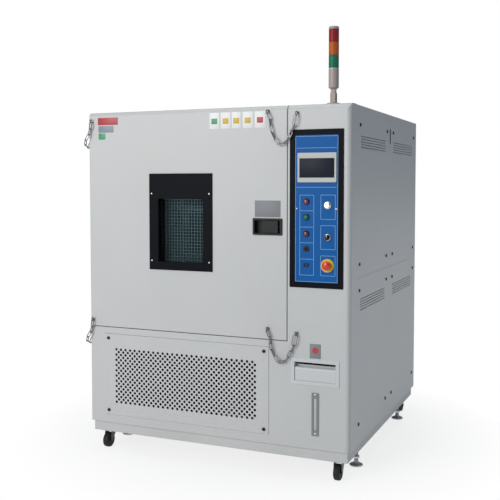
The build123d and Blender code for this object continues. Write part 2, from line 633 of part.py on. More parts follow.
pane_ys = (FRONT + PANE, FRONT + 50, FACE_Y + PLUG_DEPTH - 2 * PANE)
with BuildPart() as window_panes:
    for y in pane_ys:
        with BuildSketch(front(y)):
            pane(*grown(tunnel, -SEAT))
        extrude(amount=-PANE)
save("window_panes", window_panes.part)

mesh = grown(tunnel, -SEAT)
mesh_w, mesh_h = mesh[1] - mesh[0], mesh[3] - mesh[2]
upright_count, rung_count = int(mesh_w / MESH_PITCH), int(mesh_h / MESH_PITCH)
with BuildPart() as window_mesh:
    with BuildSketch(front(FRONT + MESH_DEPTH)):
        with Locations((WINDOW_X, VIEW_Z)):
            with GridLocations(MESH_PITCH, 1, upright_count, 1):
                Rectangle(MESH_WIRE, mesh_h)
    extrude(amount=MESH_WIRE)
    with BuildSketch(front(FRONT + MESH_DEPTH + SEAT)):
        with Locations((WINDOW_X, VIEW_Z)):
            with GridLocations(1, MESH_PITCH, 1, rung_count):
                Rectangle(mesh_w, MESH_WIRE)
    extrude(amount=-MESH_WIRE)
save("window_mesh", window_mesh.part)

# Side hinges: body leaves with the pins, door leaves with the middle knuckles
knuckle = HINGE_HEIGHT / 3
with BuildPart() as body_hinges:
    for hinge_z in HINGE_ZS:
        with BuildSketch(Plane.XY.offset(hinge_z - HINGE_HEIGHT / 2)):
            with Locations((LEFT - LEAF / 2, HINGE_Y + BARREL_R + 1 + LEAF_REACH / 2)):
                Rectangle(LEAF, LEAF_REACH)
        extrude(amount=HINGE_HEIGHT)
        for end_z in (hinge_z - HINGE_HEIGHT / 2, hinge_z + HINGE_HEIGHT / 2 - knuckle):
            with BuildSketch(Plane.XY.offset(end_z)):
                pane(LEFT - LEAF, LEFT - LEAF / 2, HINGE_Y, HINGE_Y + BARREL_R + 2)
                with Locations((HINGE_X, HINGE_Y)):
                    Circle(BARREL_R)
            extrude(amount=knuckle - SEAT)
        with BuildSketch(Plane.XY.offset(hinge_z - HINGE_HEIGHT / 2)):
            with Locations((HINGE_X, HINGE_Y)):
                Circle(HINGE_PIN_R)
        extrude(amount=HINGE_HEIGHT)
save("body_hinges", body_hinges.part)

with BuildPart() as door_hinges:
    for hinge_z in HINGE_ZS:
        with BuildSketch(Plane.XY.offset(hinge_z - HINGE_HEIGHT / 2)):
            with Locations((LEFT - LEAF / 2, HINGE_Y - BARREL_R - 6 - LEAF_REACH / 2)):
                Rectangle(LEAF, LEAF_REACH)
        extrude(amount=HINGE_HEIGHT)
        with BuildSketch(Plane.XY.offset(hinge_z - knuckle / 2 + SEAT)):
            pane(LEFT - LEAF, LEFT - LEAF / 2, HINGE_Y - BARREL_R - 8, HINGE_Y)
            with Locations((HINGE_X, HINGE_Y)):
                Circle(BARREL_R)
                Circle(HINGE_PIN_R + RUN, mode=Mode.SUBTRACT)
        extrude(amount=knuckle - 2 * SEAT)
save("door_hinges", door_hinges.part)

# Paddle latch: cup and bezel, the paddle on its pin, the tongue behind the door and its keeper
mouth_w, mouth_h = LATCH_WIDTH - 20, LATCH_HEIGHT - 18
pin_x, pin_y = LATCH_X + 50, FRONT + 6
with BuildPart() as latch_housing:
    with BuildSketch(front(FRONT)):
        with Locations((LATCH_X, LATCH_Z)):
            RectangleRounded(LATCH_WIDTH, LATCH_HEIGHT, 4)
    extrude(amount=LATCH_PROUD, taper=15)
    with BuildSketch(front(FRONT)):
        with Locations((LATCH_X, LATCH_Z)):
            Rectangle(cup_w, cup_h)
    extrude(amount=-CUP_DEPTH)
    with BuildSketch(front(FRONT - LATCH_PROUD)):
        with Locations((LATCH_X, LATCH_Z)):
            Rectangle(mouth_w, mouth_h)
    extrude(amount=-(LATCH_PROUD + CUP_DEPTH - 3), mode=Mode.SUBTRACT)
    with BuildSketch(Plane.XY.offset(LATCH_Z - cup_h / 2)):
        with Locations((pin_x, pin_y)):
            Circle(PADDLE_PIN_R + RUN)
    extrude(amount=cup_h, mode=Mode.SUBTRACT)
    with BuildSketch(front(cup_back)):
        with Locations((TONGUE_STEM_X - TONGUE_TRAVEL / 2, TONGUE_Z)):
            Rectangle(TONGUE_STEM + TONGUE_TRAVEL + 2, 2 * TONGUE_HALF + 2)
    extrude(amount=3, mode=Mode.SUBTRACT)
save("latch_housing", latch_housing.part)

paddle_right = pin_x + 2
with BuildPart() as latch_paddle:
    with BuildSketch(front(FRONT - 1)):
        with Locations((paddle_right - PADDLE_WIDTH / 2, LATCH_Z)):
            Rectangle(PADDLE_WIDTH, PADDLE_HEIGHT)
    extrude(amount=PADDLE_THICK)
    with BuildSketch(Plane.XY.offset(LATCH_Z - PADDLE_HEIGHT / 2)) as lugs:
        with BuildLine():
            Polyline(
                (paddle_right, FRONT - 1),
                (paddle_right - 22, FRONT - 1),
                (pin_x - 6, pin_y + 2),
                (pin_x - 3, pin_y + 5),
                (paddle_right, pin_y + 5),
                close=True,
            )
        make_face()
    extrude(amount=PADDLE_HEIGHT)
    with BuildSketch(Plane.XY.offset(LATCH_Z - PADDLE_HEIGHT / 2 + 6)):
        pane(paddle_right - 24, paddle_right, FRONT - 1, pin_y + 6)
    extrude(amount=PADDLE_HEIGHT - 12, mode=Mode.SUBTRACT)
    with BuildSketch(Plane.XY.offset(LATCH_Z - cup_h / 2)):
        with Locations((pin_x, pin_y)):
            Circle(PADDLE_PIN_R)
    extrude(amount=cup_h)
    grip = latch_paddle.edges().filter_by(Axis.Z).sort_by(Axis.X)[0:2]
    chamfer(grip, 1.5)
save("latch_paddle", latch_paddle.part)

tongue_y = DOOR_BACK + 0.5
with BuildPart() as latch_tongue:
    with BuildSketch(front(tongue_y)):
        pane(TONGUE_LEFT, TONGUE_RIGHT, TONGUE_Z - TONGUE_HALF, TONGUE_Z + TONGUE_HALF)
    extrude(amount=-TONGUE_THICK)
    with BuildSketch(front(tongue_y)):
        with Locations((TONGUE_STEM_X, TONGUE_Z)):
            Rectangle(TONGUE_STEM, 2 * TONGUE_HALF)
    extrude(amount=tongue_y - cup_back + 6)
save("latch_tongue", latch_tongue.part)

# Control panel: black surround, blue plate, touch screen, lamps, sockets and switches
with BuildPart() as panel_surround:
    with BuildSketch(front(FRONT)):
        with Locations((PANEL_X, panel_z)):
            RectangleRounded(PANEL_WIDTH, panel_h, 3)
            Rectangle(blue_w, blue_h, mode=Mode.SUBTRACT)
    extrude(amount=BEZEL_PROUD)
save("panel_surround", panel_surround.part)

blue_front = FRONT - 1.0
lamp_places = [(LAMP_X, z) for z in LAMP_ZS]
switch_places = [(KNOB_X, z) for z in (LIMIT_Z, SELECT_Z, ESTOP_Z)]
with BuildPart() as control_panel:
    with BuildSketch(front(blue_front)):
        with Locations((PANEL_X, panel_z)):
            Rectangle(blue_w - 2 * SEAT, blue_h - 2 * SEAT)
        with Locations((PANEL_X + 3, SCREEN_Z)):
            Rectangle(SCREEN_WIDTH - 16, SCREEN_HEIGHT - 16, mode=Mode.SUBTRACT)
        with Locations(*lamp_places, *switch_places, (SOCKET_X, PORT_Z)):
            Circle(FITTING_HOLE_R, mode=Mode.SUBTRACT)
    extrude(amount=-SKIN)
save("control_panel", control_panel.part)

with BuildPart() as touch_screen:
    with BuildSketch(front(blue_front)):
        with Locations((PANEL_X + 3, SCREEN_Z)):
            RectangleRounded(SCREEN_WIDTH, SCREEN_HEIGHT, 4)
    extrude(amount=SCREEN_PROUD, taper=10)
    with BuildSketch(front(blue_front)):
        with Locations((PANEL_X + 3, SCREEN_Z)):
            Rectangle(SCREEN_WIDTH - 16 - 2 * SEAT, SCREEN_HEIGHT - 16 - 2 * SEAT)
    extrude(amount=-FITTING_DEPTH)
    with BuildSketch(front(blue_front - SCREEN_PROUD)):
        with Locations((PANEL_X + 3, GLASS_Z)):
            Rectangle(GLASS_WIDTH, GLASS_HEIGHT)
    extrude(amount=-2, mode=Mode.SUBTRACT)
save("touch_screen", touch_screen.part)

with BuildPart() as panel_fittings:
    with BuildSketch(front(blue_front)):
        with Locations(*lamp_places):
            Circle(LAMP_R)
    extrude(amount=5)
    with BuildSketch(front(blue_front - 5)):
        with Locations(*lamp_places):
            Circle(LAMP_R - 3)
    extrude(amount=6, taper=25)
    with BuildSketch(front(blue_front)):
        with Locations(*lamp_places):
            Circle(BODY_R)
    extrude(amount=-FITTING_DEPTH)
    # Round port and the small socket below the lamps
    with BuildSketch(front(blue_front)):
        with Locations((SOCKET_X, PORT_Z)):
            Circle(LAMP_R - 1)
    extrude(amount=4)
    with BuildSketch(front(blue_front)):
        with Locations((SOCKET_X, PORT_Z)):
            Circle(BODY_R)
    extrude(amount=-FITTING_DEPTH)
    with BuildSketch(front(blue_front - 4)):
        with Locations((SOCKET_X, PORT_Z)):
            Circle(5)
    extrude(amount=-10, mode=Mode.SUBTRACT)
    with BuildSketch(front(blue_front)):
        with Locations((SOCKET_X, SOCKET_Z)):
            Rectangle(24, 16)
            Rectangle(13, 6, mode=Mode.SUBTRACT)
    extrude(amount=3)
save("panel_fittings", panel_fittings.part)

with BuildPart() as switch_bodies:
    for z, ring_r, stem_r in (
        (LIMIT_Z, 16.0, DIAL_STEM_R),
        (SELECT_Z, LAMP_R, DIAL_STEM_R),
        (ESTOP_Z, STOP_RING_R, STOP_STEM_R),
    ):
        with BuildSketch(front(blue_front)):
            with Locations((KNOB_X, z)):
                Circle(ring_r)
                Circle(stem_r + RUN, mode=Mode.SUBTRACT)
        extrude(amount=COLLAR)
        with BuildSketch(front(blue_front)):
            with Locations((KNOB_X, z)):
                Circle(BODY_R)
                Circle(stem_r + RUN, mode=Mode.SUBTRACT)
        extrude(amount=-FITTING_DEPTH)
save("switch_bodies", switch_bodies.part)

collar_front = blue_front - COLLAR
with BuildPart() as limit_dial:
    with BuildSketch(front(collar_front - SEAT)):
        with Locations((KNOB_X, LIMIT_Z)):
            Circle(DIAL_R)
    extrude(amount=DIAL_HEIGHT, taper=4)
    with BuildSketch(front(collar_front - SEAT)):
        with Locations((KNOB_X, LIMIT_Z)):
            Circle(DIAL_STEM_R)
    extrude(amount=-STEM_REACH)
    with BuildSketch(front(collar_front - SEAT - DIAL_HEIGHT)):
        with Locations((KNOB_X, LIMIT_Z + 6)):
            Rectangle(1.6, 8)
    extrude(amount=-1, mode=Mode.SUBTRACT)
save("limit_dial", limit_dial.part)

with BuildPart() as selector_switch:
    with BuildSketch(front(collar_front - SEAT)):
        with Locations((KNOB_X, SELECT_Z)):
            Circle(12.5)
    extrude(amount=5)
    with BuildSketch(front(collar_front - SEAT - 5)):
        with Locations((KNOB_X, SELECT_Z)):
            SlotOverall(24, 9, rotation=90)
    extrude(amount=11)
    with BuildSketch(front(collar_front - SEAT)):
        with Locations((KNOB_X, SELECT_Z)):
            Circle(DIAL_STEM_R)
    extrude(amount=-STEM_REACH)
save("selector_switch", selector_switch.part)

stop_head_y = collar_front - STOP_TRAVEL - 1
with BuildPart() as stop_plunger:
    with BuildSketch(front(stop_head_y)):
        with Locations((KNOB_X, ESTOP_Z)):
            Circle(STOP_STEM_R)
            Circle(DIAL_STEM_R + RUN, mode=Mode.SUBTRACT)
    extrude(amount=-(24 + STOP_TRAVEL))
save("stop_plunger", stop_plunger.part)

stop_face = stop_head_y - SEAT
with BuildPart() as stop_button:
    with BuildSketch(Plane.YZ.offset(KNOB_X)):
        with BuildLine():
            Polyline(
                (stop_face - STOP_HEAD, ESTOP_Z),
                (stop_face + STEM_REACH, ESTOP_Z),
                (stop_face + STEM_REACH, ESTOP_Z + DIAL_STEM_R),
                (stop_face, ESTOP_Z + DIAL_STEM_R),
                (stop_face, ESTOP_Z + 13),
                (stop_face - 5, ESTOP_Z + 14),
                (stop_face - 7, ESTOP_Z + STOP_HEAD_R),
                (stop_face - 12, ESTOP_Z + STOP_HEAD_R),
            )
            TangentArc(
                (stop_face - STOP_HEAD, ESTOP_Z), (stop_face - 12, ESTOP_Z + STOP_HEAD_R), tangent=(0, 1)
            )
        make_face()
    revolve(axis=Axis((KNOB_X, 0, ESTOP_Z), (0, 1, 0)))
save("stop_button", stop_button.part)

# Water drawer: bezel with its sleeve, and the tray with a rolled pull lip
outer_drawer = (
    DRAWER_X - DRAWER_OUTER_W / 2,
    DRAWER_X + DRAWER_OUTER_W / 2,
    DRAWER_Z - DRAWER_OUTER_H / 2,
    DRAWER_Z + DRAWER_OUTER_H / 2,
)
sleeve_y = FRONT + DRAWER_LENGTH + 12
with BuildPart() as drawer_housing:
    with BuildSketch(front(FRONT)):
        pane(*outer_drawer)
        with Locations((DRAWER_X, DRAWER_Z)):
            Rectangle(DRAWER_W, DRAWER_H, mode=Mode.SUBTRACT)
    extrude(amount=BEZEL_PROUD)
    chamfer(drawer_housing.faces().sort_by(Axis.Y)[0].outer_wire().edges(), 1.5)
    with BuildSketch(front(FRONT)):
        with Locations((DRAWER_X, DRAWER_Z)):
            Rectangle(sleeve_w, sleeve_h)
            Rectangle(DRAWER_W, DRAWER_H, mode=Mode.SUBTRACT)
    extrude(amount=-(sleeve_y - FRONT))
save("drawer_housing", drawer_housing.part)

tray_w, tray_h = DRAWER_W - 2 * DRAWER_CLEAR, DRAWER_H - 2 * DRAWER_CLEAR
tray_bottom = DRAWER_Z - DRAWER_H / 2 + SEAT
tray_top = tray_bottom + tray_h
lip_z = tray_top - 20
face_y = FRONT + 1
with BuildPart() as water_drawer:
    with BuildSketch(Plane.YZ.offset(DRAWER_X - tray_w / 2)) as pull_profile:
        with BuildLine():
            Line((face_y + LIP, tray_bottom), (face_y, tray_bottom))
            Line((face_y, tray_bottom), (face_y, lip_z - LIP / 2))
            ThreePointArc(
                (face_y, lip_z - LIP / 2), (face_y + LIP / 6, lip_z - LIP / 8), (face_y + LIP / 2, lip_z)
            )
            Line((face_y + LIP / 2, lip_z), (face_y + LIP, lip_z))
            Line((face_y + LIP, lip_z), (face_y + LIP, tray_bottom))
        make_face()
    extrude(amount=tray_w)
    # Pocket for the fingers behind the lip
    with BuildSketch(Plane.YZ.offset(DRAWER_X - tray_w / 2 + DRAWER_WALL)):
        pane(face_y + LIP / 2 + 1, face_y + LIP + 30, lip_z - 34, lip_z)
    extrude(amount=tray_w - 2 * DRAWER_WALL, mode=Mode.SUBTRACT)
    # Tub, open at the top
    with BuildSketch(Plane.XY.offset(tray_bottom)):
        pane(DRAWER_X - tray_w / 2, DRAWER_X + tray_w / 2, face_y + LIP, FRONT + DRAWER_LENGTH)
    extrude(amount=tray_h - 12)
    with BuildSketch(Plane.XY.offset(tray_bottom + DRAWER_WALL)):
        pane(
            DRAWER_X - tray_w / 2 + DRAWER_WALL,
            DRAWER_X + tray_w / 2 - DRAWER_WALL,
            face_y + LIP + DRAWER_WALL,
            FRONT + DRAWER_LENGTH - DRAWER_WALL,
        )
    extrude(amount=tray_h, mode=Mode.SUBTRACT)
save(
    "water_drawer",
    walls(
        water_drawer.part,
        ((DRAWER_X - tray_w / 2 + DRAWER_WALL, 0, 0), (-1, 0, 0)),
        ((DRAWER_X + tray_w / 2 - DRAWER_WALL, 0, 0), (1, 0, 0)),
        ((0, FRONT + DRAWER_LENGTH - DRAWER_WALL, 0), (0, 1, 0)),
        ((0, 0, tray_bottom + DRAWER_WALL), (0, 0, -1)),
    ),
)

with BuildPart() as level_gauge:
    with BuildSketch(front(FRONT)):
        with Locations((GAUGE_X, GAUGE_Z)):
            RectangleRounded(GAUGE_W, GAUGE_H, 3)
    extrude(amount=3)
    with BuildSketch(front(FRONT - 3)):
        with Locations((GAUGE_X, GAUGE_Z)):
            SlotOverall(GAUGE_H - 50, 14, rotation=90)
    extrude(amount=-3, mode=Mode.SUBTRACT)
    with BuildSketch(Plane.XY.offset(GAUGE_Z - (GAUGE_H - 30) / 2 + SEAT)):
        with Locations((GAUGE_X, FRONT + 6.3)):
            Circle(6)
    extrude(amount=GAUGE_H - 30 - 2 * SEAT)
save("level_gauge", level_gauge.part)

# Feed tank that the drawer empties into, read by the gauge
tank_top = DRAWER_Z - sleeve_h / 2 - SEAT
tank_bottom = BODY + SKIN
tank_front, tank_back = FRONT + 14, FRONT + 300
TANK_HALF, TANK_WALL = 110.0, 4.0
with BuildPart() as water_tank:
    with BuildSketch(Plane.XY.offset(tank_bottom)):
        pane(DRAWER_X - TANK_HALF, DRAWER_X + TANK_HALF, tank_front, tank_back)
    extrude(amount=tank_top - tank_bottom)
    with BuildSketch(Plane.XY.offset(tank_bottom + TANK_WALL)):
        pane(
            DRAWER_X - TANK_HALF + TANK_WALL,
            DRAWER_X + TANK_HALF - TANK_WALL,
            tank_front + TANK_WALL,
            tank_back - TANK_WALL,
        )
    extrude(amount=tank_top - tank_bottom, mode=Mode.SUBTRACT)
save(
    "water_tank",
    walls(
        water_tank.part,
        ((DRAWER_X - TANK_HALF + TANK_WALL, 0, 0), (-1, 0, 0)),
        ((DRAWER_X + TANK_HALF - TANK_WALL, 0, 0), (1, 0, 0)),
        ((0, tank_front + TANK_WALL, 0), (0, -1, 0)),
        ((0, tank_back - TANK_WALL, 0), (0, 1, 0)),
    ),
)

# Tower light: foot with its fork on the roof, and the light that folds on it
with BuildPart() as tower_foot:
    with BuildSketch(Plane.XY.offset(TOP)):
        with Locations((TOWER_X, TOWER_Y)):
            Circle(FOOT_DISC_R)
    extrude(amount=FOOT_DISC)
    with BuildSketch(front(TOWER_Y)):
        pane(TOWER_X - KNUCKLE_R, TOWER_X + KNUCKLE_R, TOP + FOOT_DISC, FOLD_Z)
        with Locations((TOWER_X, FOLD_Z)):
            Circle(KNUCKLE_R)
    extrude(amount=KNUCKLE_HALF + FORK_T, both=True)
    with BuildSketch(front(TOWER_Y)):
        pane(TOWER_X - 20, TOWER_X + 20, TOP + 20, FOLD_Z + 20)
    extrude(amount=KNUCKLE_HALF, both=True, mode=Mode.SUBTRACT)
    with BuildSketch(front(TOWER_Y)):
        with Locations((TOWER_X, FOLD_Z)):
            Circle(FOLD_PIN_R)
    extrude(amount=KNUCKLE_HALF + FORK_T, both=True)
save("tower_foot", tower_foot.part)

with BuildPart() as tower_light:
    with BuildSketch(Plane.XY.offset(TOWER_BASE_Z)):
        with Locations((TOWER_X, TOWER_Y)):
            Circle(TOWER_R)
    extrude(amount=TOWER_BASE_TOP - TOWER_BASE_Z)
    chamfer(tower_light.edges().filter_by(GeomType.CIRCLE).sort_by(Axis.Z)[0], 6)
    # Tongue that swings in the fork
    with BuildSketch(front(TOWER_Y)):
        pane(TOWER_X - KNUCKLE_R + 1, TOWER_X + KNUCKLE_R - 1, FOLD_Z, TOWER_BASE_Z)
        with Locations((TOWER_X, FOLD_Z)):
            Circle(KNUCKLE_R - 1)
    extrude(amount=KNUCKLE_HALF - 0.5, both=True)
    with BuildSketch(front(TOWER_Y)):
        with Locations((TOWER_X, FOLD_Z)):
            Circle(FOLD_PIN_R + RUN)
    extrude(amount=KNUCKLE_HALF, both=True, mode=Mode.SUBTRACT)
    # Cap, clear collar under the lenses and the tie rod through them
    with BuildSketch(Plane.XY.offset(LENS_ZS[-1] + SEAT)):
        with Locations((TOWER_X, TOWER_Y)):
            Circle(TOWER_R)
    extrude(amount=TOWER_TOP - LENS_ZS[-1] - SEAT)
    chamfer(tower_light.edges().filter_by(GeomType.CIRCLE).sort_by(Axis.Z)[-1], 4)
    with BuildSketch(Plane.XY.offset(TOWER_BASE_TOP)):
        with Locations((TOWER_X, TOWER_Y)):
            Circle(TOWER_R - 6)
    extrude(amount=LENS_ZS[0] - TOWER_BASE_TOP)
    with BuildSketch(Plane.XY.offset(LENS_ZS[0])):
        with Locations((TOWER_X, TOWER_Y)):
            Circle(TUBE_R)
    extrude(amount=LENS_ZS[-1] + SEAT - LENS_ZS[0])
save("tower_light", tower_light.part)

with BuildPart() as tower_lenses:
    for low, high in zip(LENS_ZS, LENS_ZS[1:]):
        with BuildSketch(Plane.XY.offset(low + SEAT)):
            with Locations((TOWER_X, TOWER_Y)):
                Circle(TOWER_R)
                Circle(TUBE_R + SEAT, mode=Mode.SUBTRACT)
        extrude(amount=high - low - SEAT)
save("tower_lenses", tower_lenses.part)

# Casters: fork on a king pin, wheel on its axle
plate_z = MOUNT_Z - 4
fork_inner = WHEEL_WIDTH / 2 + 2
for tag, sx, sy in (
    ("front_left", -1, -1),
    ("front_right", 1, -1),
    ("rear_left", -1, 1),
    ("rear_right", 1, 1),
):
    pin = (sx * CASTER_X, sy * CASTER_Y)
    wheel_y = pin[1] + sy * CASTER_TRAIL
    with BuildPart() as caster_fork:
        with BuildSketch(Plane.XY.offset(plate_z)):
            with Locations(pin):
                Rectangle(44, 48)
        extrude(amount=MOUNT_Z - SEAT - plate_z)
        with BuildSketch(Plane.XY.offset(MOUNT_Z - SEAT)):
            with Locations(pin):
                Circle(KING_PIN_R)
        extrude(amount=24)
        with BuildSketch(Plane.YZ.offset(pin[0])) as fork_side:
            with BuildLine():
                Polyline(
                    (pin[1] - sy * 20, plate_z),
                    (pin[1] + sy * 24, plate_z),
                    (wheel_y + sy * 12, WHEEL_R),
                    (wheel_y, WHEEL_R - 11),
                    (wheel_y - sy * 12, WHEEL_R),
                    (pin[1] - sy * 20, plate_z - 14),
                    close=True,
                )
            make_face()
        extrude(amount=fork_inner + 3, both=True)
        with BuildSketch(Plane.YZ.offset(pin[0])):
            pane(-BACK * 2, BACK * 2, 0, 2 * WHEEL_R + 6)
        extrude(amount=fork_inner, both=True, mode=Mode.SUBTRACT)
        with BuildSketch(Plane.YZ.offset(pin[0])):
            with Locations((wheel_y, WHEEL_R)):
                Circle(AXLE_R)
        extrude(amount=fork_inner + 5, both=True)
    save(f"caster_fork_{tag}", caster_fork.part)
    with BuildPart() as caster_wheel:
        with BuildSketch(Plane.YZ.offset(pin[0])):
            with Locations((wheel_y, WHEEL_R)):
                Circle(WHEEL_R)
        extrude(amount=WHEEL_WIDTH / 2, both=True)
        chamfer(caster_wheel.edges().filter_by(GeomType.CIRCLE), 4)
        with BuildSketch(Plane.YZ.offset(pin[0])):
            with Locations((wheel_y, WHEEL_R)):
                Circle(AXLE_R + RUN)
        extrude(amount=WHEEL_WIDTH, both=True, mode=Mode.SUBTRACT)
    save(f"caster_wheel_{tag}", caster_wheel.part)

# Levelling feet
for tag, sx, foot_y in (
    ("front_left", -1, FOOT_YS[0]),
    ("front_right", 1, FOOT_YS[0]),
    ("rear_left", -1, FOOT_YS[1]),
    ("rear_right", 1, FOOT_YS[1]),
):
    foot_x = sx * FOOT_X
    with BuildPart() as levelling_foot:
        with BuildSketch(Plane.XZ.offset(-foot_y)):
            with BuildLine():
                Line((foot_x, 0), (foot_x + FOOT_R - 2, 0))
                Line((foot_x + FOOT_R - 2, 0), (foot_x + FOOT_R, 6))
                Polyline((foot_x + FOOT_R, 6), (foot_x + 17, 13), (foot_x + STEM_R, 30))
                Line((foot_x + STEM_R, 30), (foot_x + STEM_R, STEM_TOP))
                Line((foot_x + STEM_R, STEM_TOP), (foot_x, STEM_TOP))
                Line((foot_x, STEM_TOP), (foot_x, 0))
            make_face()
        revolve(axis=Axis((foot_x, foot_y, 0), (0, 0, 1)))
    save(f"levelling_foot_{tag}", levelling_foot.part)

# Shelf standards on the liner's side walls, and two wire shelves on their brackets
rail_ys = (SHELF_FRONT + 60, SHELF_BACK - 60)
with BuildPart() as shelf_rails:
    for wall_x, inward in ((OPEN_LEFT + SEAT, 1), (OPEN_RIGHT - SEAT, -1)):
        for rail_y in rail_ys:
            with BuildSketch(Plane.XY.offset(OPEN_BOTTOM + RAIL_INSET)):
                with Locations((wall_x + inward * RAIL_DEPTH / 2, rail_y)):
                    Rectangle(RAIL_DEPTH, RAIL_WIDTH)
            extrude(amount=OPEN_TOP - OPEN_BOTTOM - 2 * RAIL_INSET)
            for shelf_z in SHELF_ZS:
                with BuildSketch(Plane.XY.offset(shelf_z - BRACKET)):
                    with Locations((wall_x + inward * (RAIL_DEPTH + BRACKET_REACH / 2), rail_y)):
                        Rectangle(BRACKET_REACH, RAIL_WIDTH)
                extrude(amount=BRACKET)
save("shelf_rails", shelf_rails.part)

shelf_half = (OPEN_RIGHT - OPEN_LEFT) / 2 - RAIL_DEPTH - 2
shelf_depth = SHELF_BACK - SHELF_FRONT
shelf_mid = ((OPEN_LEFT + OPEN_RIGHT) / 2, (SHELF_FRONT + SHELF_BACK) / 2)
with BuildPart() as shelves:
    for shelf_z in SHELF_ZS:
        with BuildSketch(Plane.XY.offset(shelf_z + SEAT)):
            with Locations(shelf_mid):
                Rectangle(2 * shelf_half, shelf_depth)
                Rectangle(2 * (shelf_half - SHELF_ROD), shelf_depth - 2 * SHELF_ROD, mode=Mode.SUBTRACT)
                Rectangle(SHELF_ROD, shelf_depth)
        extrude(amount=SHELF_ROD)
        with BuildSketch(Plane.XY.offset(shelf_z + 2 * SEAT + SHELF_ROD)):
            with Locations(shelf_mid):
                with GridLocations(1, shelf_depth / SHELF_WIRES, 1, SHELF_WIRES):
                    Rectangle(2 * shelf_half - 4, SHELF_WIRE)
        extrude(amount=SHELF_WIRE)
save("shelves", shelves.part)

# Circulation fan in the duct, driven by a motor behind the insulation
fan_back = FAN_Y + 20
with BuildPart() as circulation_fan:
    with BuildSketch(front(fan_back)):
        with Locations((FAN_X, FAN_Z)):
            Circle(FAN_R)
    extrude(amount=SKIN)
    with BuildSketch(front(fan_back - SKIN)):
        with Locations((FAN_X, FAN_Z)):
            with PolarLocations(FAN_R * 0.72, BLADES):
                Rectangle(FAN_R * 0.46, BLADE, rotation=35)
    extrude(amount=42)
    with BuildSketch(front(FAN_Y - 15)):
        with Locations((FAN_X, FAN_Z)):
            Circle(3 * FAN_SHAFT_R)
    extrude(amount=-55)
    with BuildSketch(front(fan_back)):
        with Locations((FAN_X, FAN_Z)):
            Circle(FAN_SHAFT_R)
    extrude(amount=-(BAY_BACK + 60 - fan_back))
save("circulation_fan", circulation_fan.part)

with BuildPart() as fan_motor:
    with BuildSketch(front(BAY_BACK + SEAT)):
        with Locations((FAN_X, FAN_Z)):
            Rectangle(2 * MOTOR_R + 50, 2 * MOTOR_R + 50)
            Circle(FAN_SHAFT_R + RUN, mode=Mode.SUBTRACT)
    extrude(amount=-MOTOR_PLATE)
    with BuildSketch(front(BAY_BACK + SEAT + MOTOR_PLATE)):
        with Locations((FAN_X, FAN_Z)):
            Circle(MOTOR_R)
            Circle(FAN_SHAFT_R + RUN, mode=Mode.SUBTRACT)
    extrude(amount=-MOTOR_LENGTH)
    with BuildSketch(front(BAY_BACK + SEAT + MOTOR_PLATE + MOTOR_LENGTH)):
        with Locations((FAN_X, FAN_Z)):
            Circle(MOTOR_R - 12)
    extrude(amount=-18, taper=15)
save("fan_motor", fan_motor.part)

# Coils in the duct under the fan: finned evaporator below, heater rods above it
coil_x0, coil_x1 = OPEN_LEFT + 60, OPEN_RIGHT - 60
coil_w = coil_x1 - coil_x0
coil_z, coil_h = (COIL_BOTTOM + COIL_TOP) / 2, COIL_TOP - COIL_BOTTOM
with BuildPart() as air_coils:
    with BuildSketch(front(LINER_BACK - COIL_DEPTH)):
        with Locations((FAN_X, coil_z)):
            Rectangle(coil_w, coil_h)
    extrude(amount=-(COIL_DEPTH - SEAT))
    with BuildSketch(front(LINER_BACK - COIL_DEPTH)):
        with Locations((FAN_X, coil_z)):
            with GridLocations(COIL_FIN_PITCH, 1, int((coil_w - 2 * FIN) / COIL_FIN_PITCH), 1):
                Rectangle(FIN, coil_h - 16)
    extrude(amount=FIN_DEPTH)
    with BuildSketch(front(LINER_BACK - SEAT)):
        with Locations((coil_x0, HEATER_Z), (coil_x1, HEATER_Z)):
            Rectangle(BRACKET, 2 * HEATER_PITCH)
    extrude(amount=COIL_DEPTH)
    with BuildSketch(Plane.YZ.offset(coil_x0)):
        with Locations((LINER_BACK - 2 * HEATER_PITCH, HEATER_Z)):
            with GridLocations(HEATER_PITCH, HEATER_PITCH, 2, 2):
                Circle(HEATER_R)
    extrude(amount=coil_w)
save("air_coils", air_coils.part)

